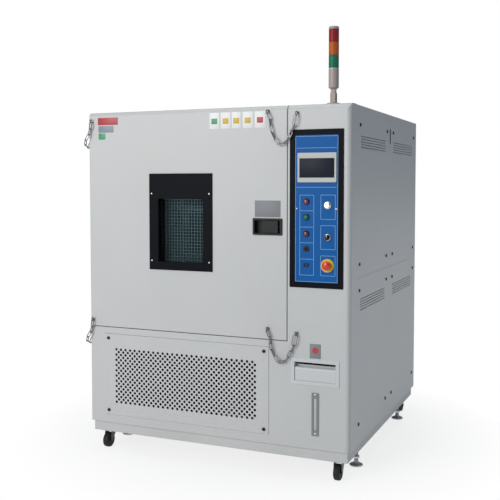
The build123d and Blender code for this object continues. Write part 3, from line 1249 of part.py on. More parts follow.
# Condensing set on the deck behind the grille
deck = BODY + SKIN + SEAT
condenser_top = CONDENSER_Z + CONDENSER_H / 2
shroud_y = CONDENSER_Y + CONDENSER_T
arms_y = shroud_y + SHROUD_DEPTH
arm_length = 2 * COOLING_FAN_R + 40
with BuildPart() as condenser:
    with BuildSketch(front(CONDENSER_Y)):
        pane(CONDENSER_X - CONDENSER_W / 2, CONDENSER_X + CONDENSER_W / 2, deck, condenser_top)
    extrude(amount=-CONDENSER_T)
    with BuildSketch(front(CONDENSER_Y)):
        with Locations((CONDENSER_X, CONDENSER_Z)):
            Rectangle(CONDENSER_W - 30, CONDENSER_H - 30)
    extrude(amount=-FIN_DEPTH, mode=Mode.SUBTRACT)
    with BuildSketch(front(CONDENSER_Y)):
        with Locations((CONDENSER_X, CONDENSER_Z)):
            with GridLocations(CONDENSER_FIN_PITCH, 1, int((CONDENSER_W - 40) / CONDENSER_FIN_PITCH), 1):
                Rectangle(FIN, CONDENSER_H - 30)
    extrude(amount=-FIN_DEPTH)
    # Shroud behind it, with the fan ring and the motor on its arms
    with BuildSketch(front(shroud_y)):
        pane(CONDENSER_X - CONDENSER_W / 2, CONDENSER_X + CONDENSER_W / 2, deck, condenser_top)
        with Locations((CONDENSER_X, CONDENSER_Z)):
            Circle(COOLING_FAN_R + 8, mode=Mode.SUBTRACT)
    extrude(amount=-SHROUD_DEPTH)
    with BuildSketch(front(arms_y)):
        with Locations((CONDENSER_X, CONDENSER_Z)):
            Rectangle(arm_length, ARM)
            Rectangle(ARM, arm_length)
            Circle(HUB_R + 6)
            Circle(COOLING_SHAFT_R + RUN, mode=Mode.SUBTRACT)
    extrude(amount=-ARM / 2)
    with BuildSketch(front(arms_y + ARM / 2)):
        with Locations((CONDENSER_X, CONDENSER_Z)):
            Circle(HUB_R + 6)
    extrude(amount=-60)
save("condenser", condenser.part)

hub_y = arms_y - 10
with BuildPart() as condenser_fan:
    with BuildSketch(front(hub_y)):
        with Locations((CONDENSER_X, CONDENSER_Z)):
            Circle(HUB_R)
    extrude(amount=40)
    with BuildSketch(front(hub_y)):
        with Locations((CONDENSER_X, CONDENSER_Z)):
            Circle(COOLING_SHAFT_R)
    extrude(amount=-ARM)
    for blade in range(COOLING_BLADES):
        turn = radians(360 / COOLING_BLADES * blade)
        spoke = Plane(
            origin=(CONDENSER_X, hub_y - 20, CONDENSER_Z), x_dir=(0, 1, 0), z_dir=(cos(turn), 0, sin(turn))
        )
        with BuildSketch(spoke.offset(HUB_R - 6)):
            Rectangle(30, 3, rotation=35)
        with BuildSketch(spoke.offset(COOLING_FAN_R)):
            Rectangle(44, 3, rotation=60)
        loft()
save("condenser_fan", condenser_fan.part)

# Compressors with their domes, necks and feet
with BuildPart() as compressors:
    cx = COMPRESSOR_X
    for cy in COMPRESSOR_YS:
        with BuildSketch(Plane.XZ.offset(-cy)):
            with BuildLine():
                Line((cx, deck + 20), (cx + COMPRESSOR_R - 15, deck + 20))
                Line((cx + COMPRESSOR_R - 15, deck + 20), (cx + COMPRESSOR_R, deck + 45))
                Line((cx + COMPRESSOR_R, deck + 45), (cx + COMPRESSOR_R, deck + COMPRESSOR_H - 50))
                Polyline(
                    (cx + COMPRESSOR_R, deck + COMPRESSOR_H - 50),
                    (cx + COMPRESSOR_R * 0.7, deck + COMPRESSOR_H - 15),
                    (cx, deck + COMPRESSOR_H),
                )
                Line((cx, deck + COMPRESSOR_H), (cx, deck + 20))
            make_face()
        revolve(axis=Axis((cx, cy, 0), (0, 0, 1)))
        with BuildSketch(Plane.XY.offset(deck + 12)):
            with Locations((cx, cy)):
                Rectangle(2 * COMPRESSOR_R + 10, 2 * COMPRESSOR_R + 10)
        extrude(amount=9)
        with BuildSketch(Plane.XY.offset(deck)):
            with Locations((cx, cy)):
                with GridLocations(2 * COMPRESSOR_R - 20, 2 * COMPRESSOR_R - 20, 2, 2):
                    Rectangle(26, 26)
        extrude(amount=12)
save("compressors", compressors.part)

# Door chains: oval links on a hanging line, split where the door half unclips


def ring(length, width):
    """An oval wire link standing along Z with its hole facing X; the wire is six-sided."""
    radius = (width - WIRE) / 2
    reach = (length - WIRE) / 2 - radius * sin(radians(60))
    bend = [(radius * cos(radians(a)), reach + radius * sin(radians(a))) for a in range(0, 181, 60)]
    with BuildPart() as link:
        with BuildLine(Plane.YZ):
            Polyline((radius, 0), *bend, *[(-y, -z) for y, z in bend], (radius, 0))
        with BuildSketch(Plane.XY):
            with Locations((0, radius)):
                RegularPolygon(WIRE / 2, 6)
        sweep(transition=Transition.RIGHT)
    return link.part


def eye(x, y, z, out):
    """A screw eye on a face: its stem runs along out and carries an oval eye standing on end."""
    stem = Plane(origin=(x, y, z), z_dir=out)
    with BuildPart() as screw_eye:
        with BuildSketch(stem):
            RegularPolygon(WIRE / 2 + 1, 6)
        extrude(amount=EYE_STAND - EYE_WIDTH / 2 + WIRE / 2)
        with BuildSketch(stem):
            RegularPolygon(EYE_WIDTH / 2, 8)
        extrude(amount=2)
        middle = stem.origin + stem.z_dir * EYE_STAND
        upright = Plane(origin=middle, x_dir=stem.z_dir.cross(Vector(0, 0, 1)), z_dir=(0, 0, 1))
        add(upright.location * ring(EYE_LENGTH, EYE_WIDTH))
    return screw_eye.part


def strand(start, headings, across, first=(LINK_LENGTH, LINK_WIDTH)):
    """Links hung one in the next along the headings, each turned a quarter from the one before."""
    links = []
    here, across = Vector(*start), Vector(*across)
    for number, heading in enumerate(headings):
        heading = Vector(*heading).normalized()
        length, width = first if number == 0 else (LINK_LENGTH, LINK_WIDTH)
        there = here + heading * (length - 2 * WIRE - SEAT)
        if number:
            across = heading.cross(across).normalized()
        middle = Plane(origin=(here + there) * 0.5, x_dir=across, z_dir=heading)
        links.append(middle.location * ring(length, width))
        here = there
    return links, here + heading * (WIRE + SEAT) / 2


def down(angle, y=0.0):
    """A heading in a hanging plane: angle from straight down toward +X, leaning by y."""
    return (sin(radians(angle)), y, -cos(radians(angle)))


def tail(point, out, length):
    """The bent end of an open hook, which lies loose in the next link."""
    with BuildPart() as pin:
        with BuildSketch(Plane(origin=point, z_dir=out)):
            RegularPolygon(HOOK_R, 6)
        extrude(amount=length)
    return pin.part


hang = EYE_LENGTH / 2 - WIRE - SEAT / 2  # from an eye's centre down to the first link
door_side, frame_side = [], []
for top in CHAIN_TOPS:
    # Right of the door: both halves hang in front of the faces
    headings = [down(angle) for angle in (27, 4, 14, 26)] + [down(40, -0.22)]
    links, end = strand((DOOR_EYE_X, CHAIN_Y, top - hang), headings, (0, 1, 0))
    door_side += [eye(DOOR_EYE_X, FRONT, top, (0, -1, 0)), *links, tail(end, (0, 1, 0), 13)]
    links, end = strand(
        (FRAME_EYE_X, CHAIN_Y, top - 12 - hang),
        [down(a) for a in (-12, -25, -28, -40, -85)],
        (0, 1, 0),
        first=(CLIP_LENGTH, CLIP_WIDTH),
    )
    frame_side += [eye(FRAME_EYE_X, FRONT, top - 12, (0, -1, 0)), *links]
    # Left of the door: the door's chain goes round the corner and hooks a link on the side wall,
    # beside the hinge line, where the door swings clear of it
    links, end = strand((LEFT + 19, CHAIN_Y, top - 15 - hang), ROUND_CORNER, (0, 1, 0))
    door_side += [eye(LEFT + 19, FRONT, top - 15, (0, -1, 0)), *links, tail(end, (1, 0, 0), 13)]
    wall_run = Vector(*WALL_HEADING).normalized() * (LINK_LENGTH - 2 * WIRE - 2 * SEAT - HOOK_R)
    wall_eye = (LEFT, end.Y - wall_run.Y, end.Z - wall_run.Z + hang)
    links, _ = strand((LEFT - EYE_STAND, wall_eye[1], wall_eye[2] - hang), [WALL_HEADING], (1, 0, 0))
    frame_side += [eye(*wall_eye, (-1, 0, 0)), *links]
with BuildPart() as door_chains:
    add(door_side)
save("door_chains", door_chains.part)
with BuildPart() as frame_chains:
    add(frame_side)
save("frame_chains", frame_chains.part)
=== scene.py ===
"""The looks of the environmental test chamber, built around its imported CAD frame. Metres, row frame."""

import math

import bmesh
import bpy
from mathutils import Matrix, Vector


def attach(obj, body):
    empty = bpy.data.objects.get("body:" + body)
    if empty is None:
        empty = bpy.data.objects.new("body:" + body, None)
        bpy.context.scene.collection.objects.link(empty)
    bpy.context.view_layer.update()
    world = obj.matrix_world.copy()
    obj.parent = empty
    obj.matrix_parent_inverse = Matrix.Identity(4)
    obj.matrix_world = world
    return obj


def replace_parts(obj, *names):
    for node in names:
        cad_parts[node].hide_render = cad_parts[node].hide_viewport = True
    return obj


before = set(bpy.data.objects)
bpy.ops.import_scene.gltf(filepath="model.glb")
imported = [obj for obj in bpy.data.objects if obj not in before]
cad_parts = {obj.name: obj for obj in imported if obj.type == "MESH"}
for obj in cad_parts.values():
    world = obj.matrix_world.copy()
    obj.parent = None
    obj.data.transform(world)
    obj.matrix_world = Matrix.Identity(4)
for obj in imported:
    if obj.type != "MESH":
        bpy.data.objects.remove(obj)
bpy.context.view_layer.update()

MM = 0.001

# Sizes taken over from the part, in millimetres
FRONT, RIGHT, LEFT, TOP = -675.0, 680.0, -680.0, 1700.0
SHEET = 1.5
BLUE_Y = FRONT - 1.0  # face of the control panel's sheet
PLATE_Y = FRONT - 3.0  # face of the window frame and of the gauge's plate
WIRE, LINK, CLIP, CHAIN_SEAT = 4.5, (40.0, 17.0), (58.0, 26.0), 0.3
EYE, EYE_STAND = (22.0, 18.0), 12.0

CORNERS = ("front_left", "front_right", "rear_left", "rear_right")
CORNER_SIDES = ((-1, -1), (1, -1), (-1, 1), (1, 1))

TO_FRONT, TO_BACK, TO_LEFT, TO_RIGHT, UP = (0, -1, 0), (0, 1, 0), (-1, 0, 0), (1, 0, 0), (0, 0, 1)
FACING_FRONT = Matrix(((1, 0, 0), (0, 0, -1), (0, 1, 0))).to_4x4()
FACING_RIGHT = Matrix(((0, 0, 1), (1, 0, 0), (0, 1, 0))).to_4x4()


# Materials

MIX_SHARE, MIX_FIRST, MIX_SECOND, MIX_RESULT = 0, 6, 7, 2  # the colour sockets of a Mix node
TONE_FROM, TONE_TO = 0.3, 0.7  # noise values between which the tone changes
GLOSS_SPREAD, LEAST_ROUGH = 0.07, 0.02
BEVEL_SAMPLES = 4
EDGE_WEAR_AND_HIGHLIGHT_FROM, EDGE_WEAR_AND_HIGHLIGHT_FULL = 0.995, 0.9  # likeness of rounded and true normal where an edge is worn and lightened as a painted highlight
# How much lighter an edge is made, for wear and as a painted highlight
EDGE_WEAR_AND_HIGHLIGHT_GAIN, EDGE_WEAR_AND_HIGHLIGHT_LIFT = 1.35, 0.02


def set_inputs(made, values):
    """Sets inputs by name; an underscore stands for a space."""
    for key, value in values.items():
        made.inputs[key.replace("_", " ")].default_value = value


def node(tree, kind, **values):
    made = tree.nodes.new(kind)
    set_inputs(made, values)
    return made


def mixed(tree, share, first, second):
    """The socket of a colour mix, whose first and second are colours or sockets."""
    made = tree.nodes.new("ShaderNodeMix")
    made.data_type = "RGBA"
    tree.links.new(share, made.inputs[MIX_SHARE])
    for place, value in ((MIX_FIRST, first), (MIX_SECOND, second)):
        if isinstance(value, tuple):
            made.inputs[place].default_value = value
        else:
            tree.links.new(value, made.inputs[place])
    return made.outputs[MIX_RESULT]


def shaded(colour, gain, lift=0.0):
    """The colour made lighter or darker, with its alpha."""
    return (*[min(1.0, max(0.0, c * gain + lift)) for c in colour], 1)


def surface(
    name,
    colour,
    rough,
    metal=0.0,
    tint=0.04,
    blotch=2.5,
    speck=700.0,
    relief=0.15,
    depth=0.0002,
    stretch=(1, 1, 1),
    edge=0.0,
    round_edge=0.0,
    **sockets,
):
    """A finish with broad tone changes, fine grain in gloss and relief, and edges made lighter, partly as
    wear and partly as a painted highlight.
    """
    made = bpy.data.materials.new(name)
    made.use_nodes = True
    tree = made.node_tree
    link = tree.links.new
    shader = tree.nodes["Principled BSDF"]
    shader.inputs["Metallic"].default_value = metal
    set_inputs(shader, sockets)
    place = node(tree, "ShaderNodeTexCoord")
    spread = node(tree, "ShaderNodeMapping", Scale=stretch)
    link(place.outputs["Object"], spread.inputs["Vector"])
    broad = node(tree, "ShaderNodeTexNoise", Scale=blotch, Detail=5.0, Roughness=0.6)
    fine = node(tree, "ShaderNodeTexNoise", Scale=speck, Detail=2.0)
    link(place.outputs["Object"], broad.inputs["Vector"])
    link(spread.outputs["Vector"], fine.inputs["Vector"])
    tone = node(tree, "ShaderNodeMapRange", From_Min=TONE_FROM, From_Max=TONE_TO)
    link(broad.outputs["Fac"], tone.inputs["Value"])
    colour_out = mixed(tree, tone.outputs["Result"], shaded(colour, 1 - tint), shaded(colour, 1 + tint))
    bump = node(tree, "ShaderNodeBump", Strength=relief, Distance=depth)
    link(fine.outputs["Fac"], bump.inputs["Height"])
    if round_edge:
        bevel = node(tree, "ShaderNodeBevel", Radius=round_edge)
        bevel.samples = BEVEL_SAMPLES
        link(bevel.outputs["Normal"], bump.inputs["Normal"])
    # Edges lightened: partly wear, partly a painted highlight along each edge
    if edge:
        true = node(tree, "ShaderNodeNewGeometry")
        likeness = node(tree, "ShaderNodeVectorMath")
        likeness.operation = "DOT_PRODUCT"
        link(bevel.outputs["Normal"], likeness.inputs[0])
        link(true.outputs["True Normal"], likeness.inputs[1])
        edge_wear_and_highlight = node(tree, "ShaderNodeMapRange", From_Min=EDGE_WEAR_AND_HIGHLIGHT_FROM, From_Max=EDGE_WEAR_AND_HIGHLIGHT_FULL, To_Max=edge)
        link(likeness.outputs["Value"], edge_wear_and_highlight.inputs["Value"])
        colour_out = mixed(tree, edge_wear_and_highlight.outputs["Result"], colour_out, shaded(colour, EDGE_WEAR_AND_HIGHLIGHT_GAIN, EDGE_WEAR_AND_HIGHLIGHT_LIFT))
    link(colour_out, shader.inputs["Base Color"])
    least, most = max(LEAST_ROUGH, rough - GLOSS_SPREAD), min(1.0, rough + GLOSS_SPREAD)
    gloss = node(tree, "ShaderNodeMapRange", To_Min=least, To_Max=most)
    link(fine.outputs["Fac"], gloss.inputs["Value"])
    link(gloss.outputs["Result"], shader.inputs["Roughness"])
    link(bump.outputs["Normal"], shader.inputs["Normal"])
    return made


WHITE = (0.56, 0.56, 0.555)
ALONG_Z, ALONG_X, ROUND_Z = (1, 1, 30), (1, 25, 25), (25, 25, 1)  # how brushed grain is stretched
# The edge values set how far each finish's edges are lightened, as wear and as a painted highlight
paint = surface("powder_coat", WHITE, 0.42, tint=0.02, speck=900, relief=0.12, edge=0.35, round_edge=0.0012)
skirt_paint = surface("skirt_coat", (0.57, 0.57, 0.56), 0.5, tint=0.05, speck=900, edge=0.3, round_edge=0.001)
drawer_paint = surface(
    "drawer_coat", (0.60, 0.61, 0.615), 0.3, tint=0.02, speck=500, edge=0.3, round_edge=0.001
)
seam_painted_shadow = surface("seam_shadow", (0.05, 0.05, 0.055), 0.7)
black_bezel = surface(
    "black_film",
    (0.005, 0.006, 0.009),
    0.4,
    tint=0.2,
    relief=0.08,
    edge=0.2,
    round_edge=0.0008,
    Specular_IOR_Level=0.05,
)
black_plastic = surface(
    "black_moulding",
    (0.012, 0.012, 0.013),
    0.45,
    tint=0.2,
    speck=1200,
    relief=0.3,
    edge=0.2,
    round_edge=0.0006,
    Specular_IOR_Level=0.25,
)
# Black enamel of the compressors, condenser fan and caster forks; on the condenser the same black is painted
# shade for the dark machine room behind the grille
black_metal_and_painted_shade = surface(
    "black_enamel", (0.02, 0.02, 0.022), 0.3, tint=0.3, speck=300, edge=0.2, round_edge=0.0006
)
blue_film = surface(
    "blue_film", (0.004, 0.105, 0.36), 0.4, tint=0.05, speck=1500, relief=0.1, Specular_IOR_Level=0.12
)
pale_ink = surface("pale_ink", (0.16, 0.38, 0.66), 0.5, tint=0.03)
bezel_grey = surface("bezel_grey", (0.50, 0.50, 0.48), 0.4, tint=0.03, speck=900, edge=0.2, round_edge=0.0006)
screen_glass = surface(
    "screen_glass", (0.009, 0.013, 0.022), 0.42, tint=0.1, relief=0.01, Specular_IOR_Level=0.15
)
steel = surface(
    "brushed_steel", (0.55, 0.56, 0.57), 0.32, metal=1.0, tint=0.05, speck=60, stretch=ALONG_Z, relief=0.1
)
steel_wide = surface(
    "brushed_sheet", (0.52, 0.53, 0.54), 0.38, metal=1.0, tint=0.05, speck=50, stretch=ALONG_X, relief=0.08
)
baffle_steel = surface(
    "baffle_sheet", (0.26, 0.27, 0.27), 0.42, metal=1.0, tint=0.05, speck=50, stretch=ALONG_X, relief=0.08
)
liner_steel = surface(
    "liner_steel", (0.50, 0.51, 0.51), 0.35, metal=1.0, tint=0.06, speck=50, stretch=ROUND_Z, relief=0.05
)
pale_wire = surface("pale_wire", (0.80, 0.82, 0.83), 0.35, tint=0.05, speck=400, relief=0.1)
zinc = surface("zinc_plate", (0.50, 0.51, 0.52), 0.36, metal=1.0, tint=0.12, blotch=30, speck=250, relief=0.1)
chrome = surface(
    "plated_wire", (0.24, 0.24, 0.26), 0.3, metal=1.0, tint=0.15, blotch=60, speck=400, relief=0.1
)
aluminium = surface("aluminium_fins", (0.6, 0.61, 0.62), 0.4, metal=1.0, tint=0.06, blotch=20, relief=0.2)
silver_knob = surface("silver_knob", (0.66, 0.67, 0.68), 0.25, metal=1.0, tint=0.05, speck=300)
plate_grey = surface("label_grey", (0.22, 0.225, 0.24), 0.5, tint=0.05, speck=500)
plate_white = surface("label_white", (0.82, 0.82, 0.80), 0.4, tint=0.03)
amber = surface("label_amber", (0.62, 0.42, 0.03), 0.4, tint=0.05)
label_green = surface("label_green", (0.05, 0.30, 0.14), 0.4, tint=0.05)
label_red = surface("label_red", (0.45, 0.04, 0.05), 0.4, tint=0.05)
label_blue = surface("label_blue", (0.22, 0.27, 0.33), 0.4, tint=0.05)
rubber = surface(
    "wheel_rubber",
    (0.014, 0.014, 0.015),
    0.6,
    tint=0.25,
    blotch=40,
    speck=300,
    relief=0.4,
    Specular_IOR_Level=0.3,
)
gasket_rubber = surface("gasket_rubber", (0.10, 0.10, 0.10), 0.65, tint=0.1, speck=300, relief=0.3)
foam = surface("foam", (0.62, 0.55, 0.36), 0.9, tint=0.12, blotch=20, speck=150, relief=0.8, depth=0.001)
motor_grey = surface("motor_paint", (0.10, 0.13, 0.17), 0.4, tint=0.1, speck=200, edge=0.2, round_edge=0.001)
tank_plastic = surface("tank_plastic", (0.62, 0.66, 0.68), 0.35, tint=0.05, Transmission_Weight=0.3)
beige = surface("beige_plastic", (0.38, 0.31, 0.285), 0.45, tint=0.05, speck=800, edge=0.1, round_edge=0.0006)
clear_collar = surface(
    "clear_collar", (0.58, 0.57, 0.53), 0.2, tint=0.08, relief=0.02, Transmission_Weight=0.35
)
lens_red = surface("lens_red", (0.26, 0.008, 0.012), 0.22, tint=0.1, relief=0.03, Specular_IOR_Level=0.3)
lens_orange = surface(
    "lens_orange", (0.46, 0.095, 0.008), 0.22, tint=0.1, relief=0.03, Specular_IOR_Level=0.3
)
lens_green = surface("lens_green", (0.006, 0.15, 0.085), 0.22, tint=0.1, relief=0.03, Specular_IOR_Level=0.3)
lamp_dark = surface("lamp_dark_red", (0.11, 0.008, 0.012), 0.15, tint=0.1, relief=0.02, Coat_Weight=0.5)
lamp_red = surface("lamp_red", (0.20, 0.010, 0.018), 0.15, tint=0.1, relief=0.02, Coat_Weight=0.5)
stop_red = surface("stop_red", (0.62, 0.018, 0.010), 0.28, tint=0.06, relief=0.03, Coat_Weight=0.3)
stop_yellow = surface("stop_yellow", (0.72, 0.52, 0.02), 0.35, tint=0.05, relief=0.05)
glass = surface(
    "window_glass", (0.66, 0.74, 0.76), 0.02, tint=0.02, relief=0.0, Transmission_Weight=1.0, IOR=1.08
)

FINISHES = {
    paint: ("cabinet_shell", "front_frame", "side_panels", "rear_cover", "grille_panel", "door_leaf"),
    skirt_paint: ("base_frame",),
    drawer_paint: ("drawer_housing", "water_drawer"),
    black_bezel: ("window_frame", "panel_surround"),
    black_plastic: ("latch_housing", "latch_paddle", "panel_fasteners", "selector_switch", "stop_plunger"),
    black_metal_and_painted_shade: (
        "compressors",
        # painted shade: the condenser is made black to stand for the shade behind the grille
        "condenser",
        "condenser_fan",
        *[f"caster_fork_{corner}" for corner in CORNERS],
    ),
    blue_film: ("control_panel",),
    bezel_grey: ("touch_screen",),
    steel_wide: ("door_liner",),
    steel: ("shelf_rails", "shelves", "circulation_fan", "throat_frame"),
    liner_steel: ("chamber_liner",),
    baffle_steel: ("air_baffle",),
    zinc: (
        "body_hinges",
        "door_hinges",
        "latch_tongue",
        *[f"levelling_foot_{corner}" for corner in CORNERS],
    ),
    chrome: ("door_chains", "frame_chains"),
    aluminium: ("air_coils",),
    rubber: tuple(f"caster_wheel_{corner}" for corner in CORNERS),
    gasket_rubber: ("door_gasket",),
    foam: ("insulation",),
    motor_grey: ("fan_motor",),
    tank_plastic: ("water_tank",),
    beige: ("tower_foot", "tower_light"),
    lens_orange: ("tower_lenses",),
    silver_knob: ("limit_dial",),
    stop_red: ("stop_button",),
    stop_yellow: ("switch_bodies",),
    lamp_red: ("panel_fittings",),
    glass: ("window_panes",),
    plate_grey: ("level_gauge",),
    pale_wire: ("window_mesh",),
}
for finish, names in FINISHES.items():
    for name in names:
        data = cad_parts[name].data
        data.materials.clear()
        data.materials.append(finish)


# Mesh helpers; they take millimetres

WELD = 0.001


def piece(name, bm, finish, body, smooth=35.0):
    """The mesh as an object that rides on a body; smooth is the angle where edges turn sharp."""
    bmesh.ops.scale(bm, vec=(MM, MM, MM), verts=bm.verts)
    bmesh.ops.recalc_face_normals(bm, faces=bm.faces)
    data = bpy.data.meshes.new(name)
    bm.to_mesh(data)
    bm.free()
    data.shade_smooth()
    data.set_sharp_from_angle(angle=math.radians(smooth))
    data.materials.append(finish)
    made = bpy.data.objects.new(name, data)
    bpy.context.scene.collection.objects.link(made)
    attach(made, body)
    return made


def add_box(bm, x, y, z, bevel=0.0):
    """A box given by its three ranges, with softened edges."""
    low = Vector((min(x), min(y), min(z)))
    high = Vector((max(x), max(y), max(z)))
    made = bmesh.ops.create_cube(bm, size=1.0)["verts"]
    bmesh.ops.scale(bm, vec=high - low, verts=made)
    bmesh.ops.translate(bm, vec=(low + high) / 2, verts=made)
    if bevel:
        edges = list(dict.fromkeys(edge for vert in made for edge in vert.link_edges))
        bmesh.ops.bevel(bm, geom=edges, offset=bevel, segments=2, affect="EDGES", profile=0.5)


def boxes(name, ranges, finish, body, bevel=0.0):
    bm = bmesh.new()
    for x, y, z in ranges:
        add_box(bm, x, y, z, bevel)
    return piece(name, bm, finish, body)


def aim(direction):
    """A rotation that turns +Z to the direction."""
    return Vector(UP).rotation_difference(Vector(direction)).to_matrix().to_4x4()


def add_lathe(bm, profile, centre, axis, steps=40):
    """A solid of revolution: profile is (radius, height) along the axis from the centre."""
    others = set(bm.verts)
    verts = [bm.verts.new((radius, 0, height)) for radius, height in profile]
    edges = [bm.edges.new(pair) for pair in zip(verts, verts[1:])]
    bmesh.ops.spin(
        bm, geom=verts + edges, cent=(0, 0, 0), axis=UP, angle=2 * math.pi, steps=steps, use_merge=True
    )
    made = [vert for vert in bm.verts if vert not in others]
    bmesh.ops.transform(bm, matrix=Matrix.Translation(centre) @ aim(axis), verts=made)
    bmesh.ops.remove_doubles(bm, verts=made, dist=WELD)


def lathe(name, profile, centre, axis, finish, body, steps=40):
    bm = bmesh.new()
    add_lathe(bm, profile, centre, axis, steps)
    return piece(name, bm, finish, body)


def circle(x, y, radius, count):
    """The outline of a round hole."""
    turns = [2 * math.pi * i / count for i in range(count)]
    return [(x + radius * math.cos(turn), y + radius * math.sin(turn)) for turn in turns]


def rectangle(x0, x1, z0, z1):
    return [(x0, z0), (x1, z0), (x1, z1), (x0, z1)]


def pierced(name, outer, holes, turn, offset, finish, body):
    """A sheet with holes: flat outlines, filled between, given a thickness and set in place."""
    curve = bpy.data.curves.new(name, "CURVE")
    curve.dimensions = "2D"
    curve.fill_mode = "BOTH"
    curve.extrude = SHEET / 2
    for outline in [outer, *holes]:
        spline = curve.splines.new("POLY")
        spline.points.add(len(outline) - 1)
        for point, (u, v) in zip(spline.points, outline):
            point.co = (u, v, 0, 1)
        spline.use_cyclic_u = True
    shape = bpy.data.objects.new(name + "_outline", curve)
    bpy.context.scene.collection.objects.link(shape)
    data = bpy.data.meshes.new_from_object(shape.evaluated_get(bpy.context.evaluated_depsgraph_get()))
    bm = bmesh.new()
    bm.from_mesh(data)
    bpy.data.objects.remove(shape)
    bpy.data.curves.remove(curve)
    bpy.data.meshes.remove(data)
    bmesh.ops.remove_doubles(bm, verts=bm.verts, dist=WELD)
    bmesh.ops.transform(bm, matrix=Matrix.Translation(offset) @ turn, verts=bm.verts)
    return piece(name, bm, finish, body, smooth=30)


# Grille plate with its full field of round holes, each row half a step on from the last

GRILLE = (-597.0, 293.0, 187.0, 596.0)
FIELD = (-528.0, 224.0, 254.0, 519.0)
GRILLE_COLUMNS, GRILLE_ROWS = 29, 21
GRILLE_HOLE, GRILLE_HOLE_SIDES = 6.6, 14
hole_dx = (FIELD[1] - FIELD[0]) / (GRILLE_COLUMNS - 0.5)
hole_dz = (FIELD[3] - FIELD[2]) / (GRILLE_ROWS - 1)
grille_holes = [
    circle(
        FIELD[0] + (column + 0.5 * (row % 2)) * hole_dx,
        FIELD[2] + row * hole_dz,
        GRILLE_HOLE,
        GRILLE_HOLE_SIDES,
    )
    for row in range(GRILLE_ROWS)
    for column in range(GRILLE_COLUMNS)
]
grille = pierced(
    "grille_sheet",
    rectangle(*GRILLE),
    grille_holes,
    FACING_FRONT,
    (0, FRONT - SHEET / 2, 0),
    paint,
    "cabinet",
)
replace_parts(grille, "grille_panel")

# Painted shadow: thin dark strips round the grille plate, standing for the shade in the gap at its edges
GAP_DEPTH, GAP_HALF = 0.15, 0.9
gap_y = (FRONT - GAP_DEPTH, FRONT)
gap = bmesh.new()
for z in GRILLE[2:]:
    add_box(gap, GRILLE[:2], gap_y, (z - GAP_HALF, z + GAP_HALF))
for x in GRILLE[:2]:
    add_box(gap, (x - GAP_HALF, x + GAP_HALF), gap_y, GRILLE[2:])
piece("grille_gap", gap, seam_painted_shadow, "cabinet")

# Side panels with staggered rows of vent holes, which have round ends

PANEL_Y = ((-590.0, 30.0), (44.0, 663.0))
PANEL_Z = ((183.0, 917.0), (921.0, 1670.0))
VENT_Y = ((-513.0, -63.0), (115.0, 557.0))
VENT_Z = (791.5, 1536.5)
VENT_ROWS, VENT_PITCH_Y, VENT_PITCH_Z = 5, 18.0, 12.5
VENT_HALF, VENT_R = 3.5, 3.0  # from a vent's middle to the centre of its round end, and that end's radius


def vent(y, z):
    """The outline of one vent hole."""
    return [
        (y + side * VENT_HALF + VENT_R * math.cos(turn), z + VENT_R * math.sin(turn))
        for side, start in ((1, -90), (-1, 90))
        for turn in (math.radians(start + step * 45) for step in range(5))
    ]


vent_panels = []
for (y0, y1), (first, last) in zip(PANEL_Y, VENT_Y):
    for (z0, z1), middle in zip(PANEL_Z, VENT_Z):
        holes = []
        for row in range(VENT_ROWS):
            z = middle + (row - (VENT_ROWS - 1) / 2) * VENT_PITCH_Z
            y = first + VENT_PITCH_Y * 0.5 * (row % 2)
            while y <= last:
                holes.append(vent(y, z))
                y += VENT_PITCH_Y
        vent_panels.append(
            pierced(
                f"side_sheet_{len(vent_panels)}",
                rectangle(y0, y1, z0, z1),
                holes,
                FACING_RIGHT,
                (RIGHT - SHEET / 2, 0, 0),
                paint,
                "cabinet",
            )
        )
for sheet in vent_panels:
    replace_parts(sheet, "side_panels")

# Dark strip at the top of the mullion between the side panels
MULLION_STRIP = ((RIGHT, RIGHT + 2), (31, 43), (1551, 1627))
boxes("mullion_strip", [MULLION_STRIP], black_plastic, "cabinet", 0.5)

# Chains of round wire on the same hanging lines as the part's links

WIRE_SIDES, RING_STEPS, EYE_STEPS = 10, 28, 24
EYE_FOOT = [(0, 0), (10, 0), (10, 1.5), (8, 2.5), (4, 3), (3, 4), (3, 8), (0, 8)]


def add_ring(bm, matrix, length, width, steps=RING_STEPS):
    """An oval wire link standing along local Z with its hole facing local X."""
    radius = (width - WIRE) / 2
    reach = (length - WIRE) / 2 - radius
    rows = []
    for i in range(steps):
        angle = 2 * math.pi * (i + 0.5) / steps
        outward = Vector((0, math.cos(angle), math.sin(angle)))
        middle = outward * radius + Vector((0, 0, math.copysign(reach, math.sin(angle))))
        ring = []
        for j in range(WIRE_SIDES):
            turn = 2 * math.pi * j / WIRE_SIDES
            spot = middle + outward * (WIRE / 2 * math.cos(turn)) + Vector((WIRE / 2 * math.sin(turn), 0, 0))
            ring.append(bm.verts.new(matrix @ spot))
        rows.append(ring)
    for i, ring in enumerate(rows):
        ahead = rows[(i + 1) % steps]
        for j in range(WIRE_SIDES):
            after = (j + 1) % WIRE_SIDES
            bm.faces.new((ring[j], ring[after], ahead[after], ahead[j]))


def basis(origin, x_dir, z_dir):
    """A frame from its origin and its x and z directions."""
    z = Vector(z_dir).normalized()
    x = Vector(x_dir)
    x = (x - z * x.dot(z)).normalized()
    y = z.cross(x)
    return Matrix.Translation(origin) @ Matrix((x, y, z)).transposed().to_4x4()


def add_eye(bm, x, y, z, out):
    """A ring on a screwed foot, standing out from a wall."""
    out = Vector(out)
    add_lathe(bm, EYE_FOOT, (x, y, z), out, 20)
    middle = Vector((x, y, z)) + out * EYE_STAND
    add_ring(bm, basis(middle, out.cross(Vector(UP)), UP), *EYE, steps=EYE_STEPS)


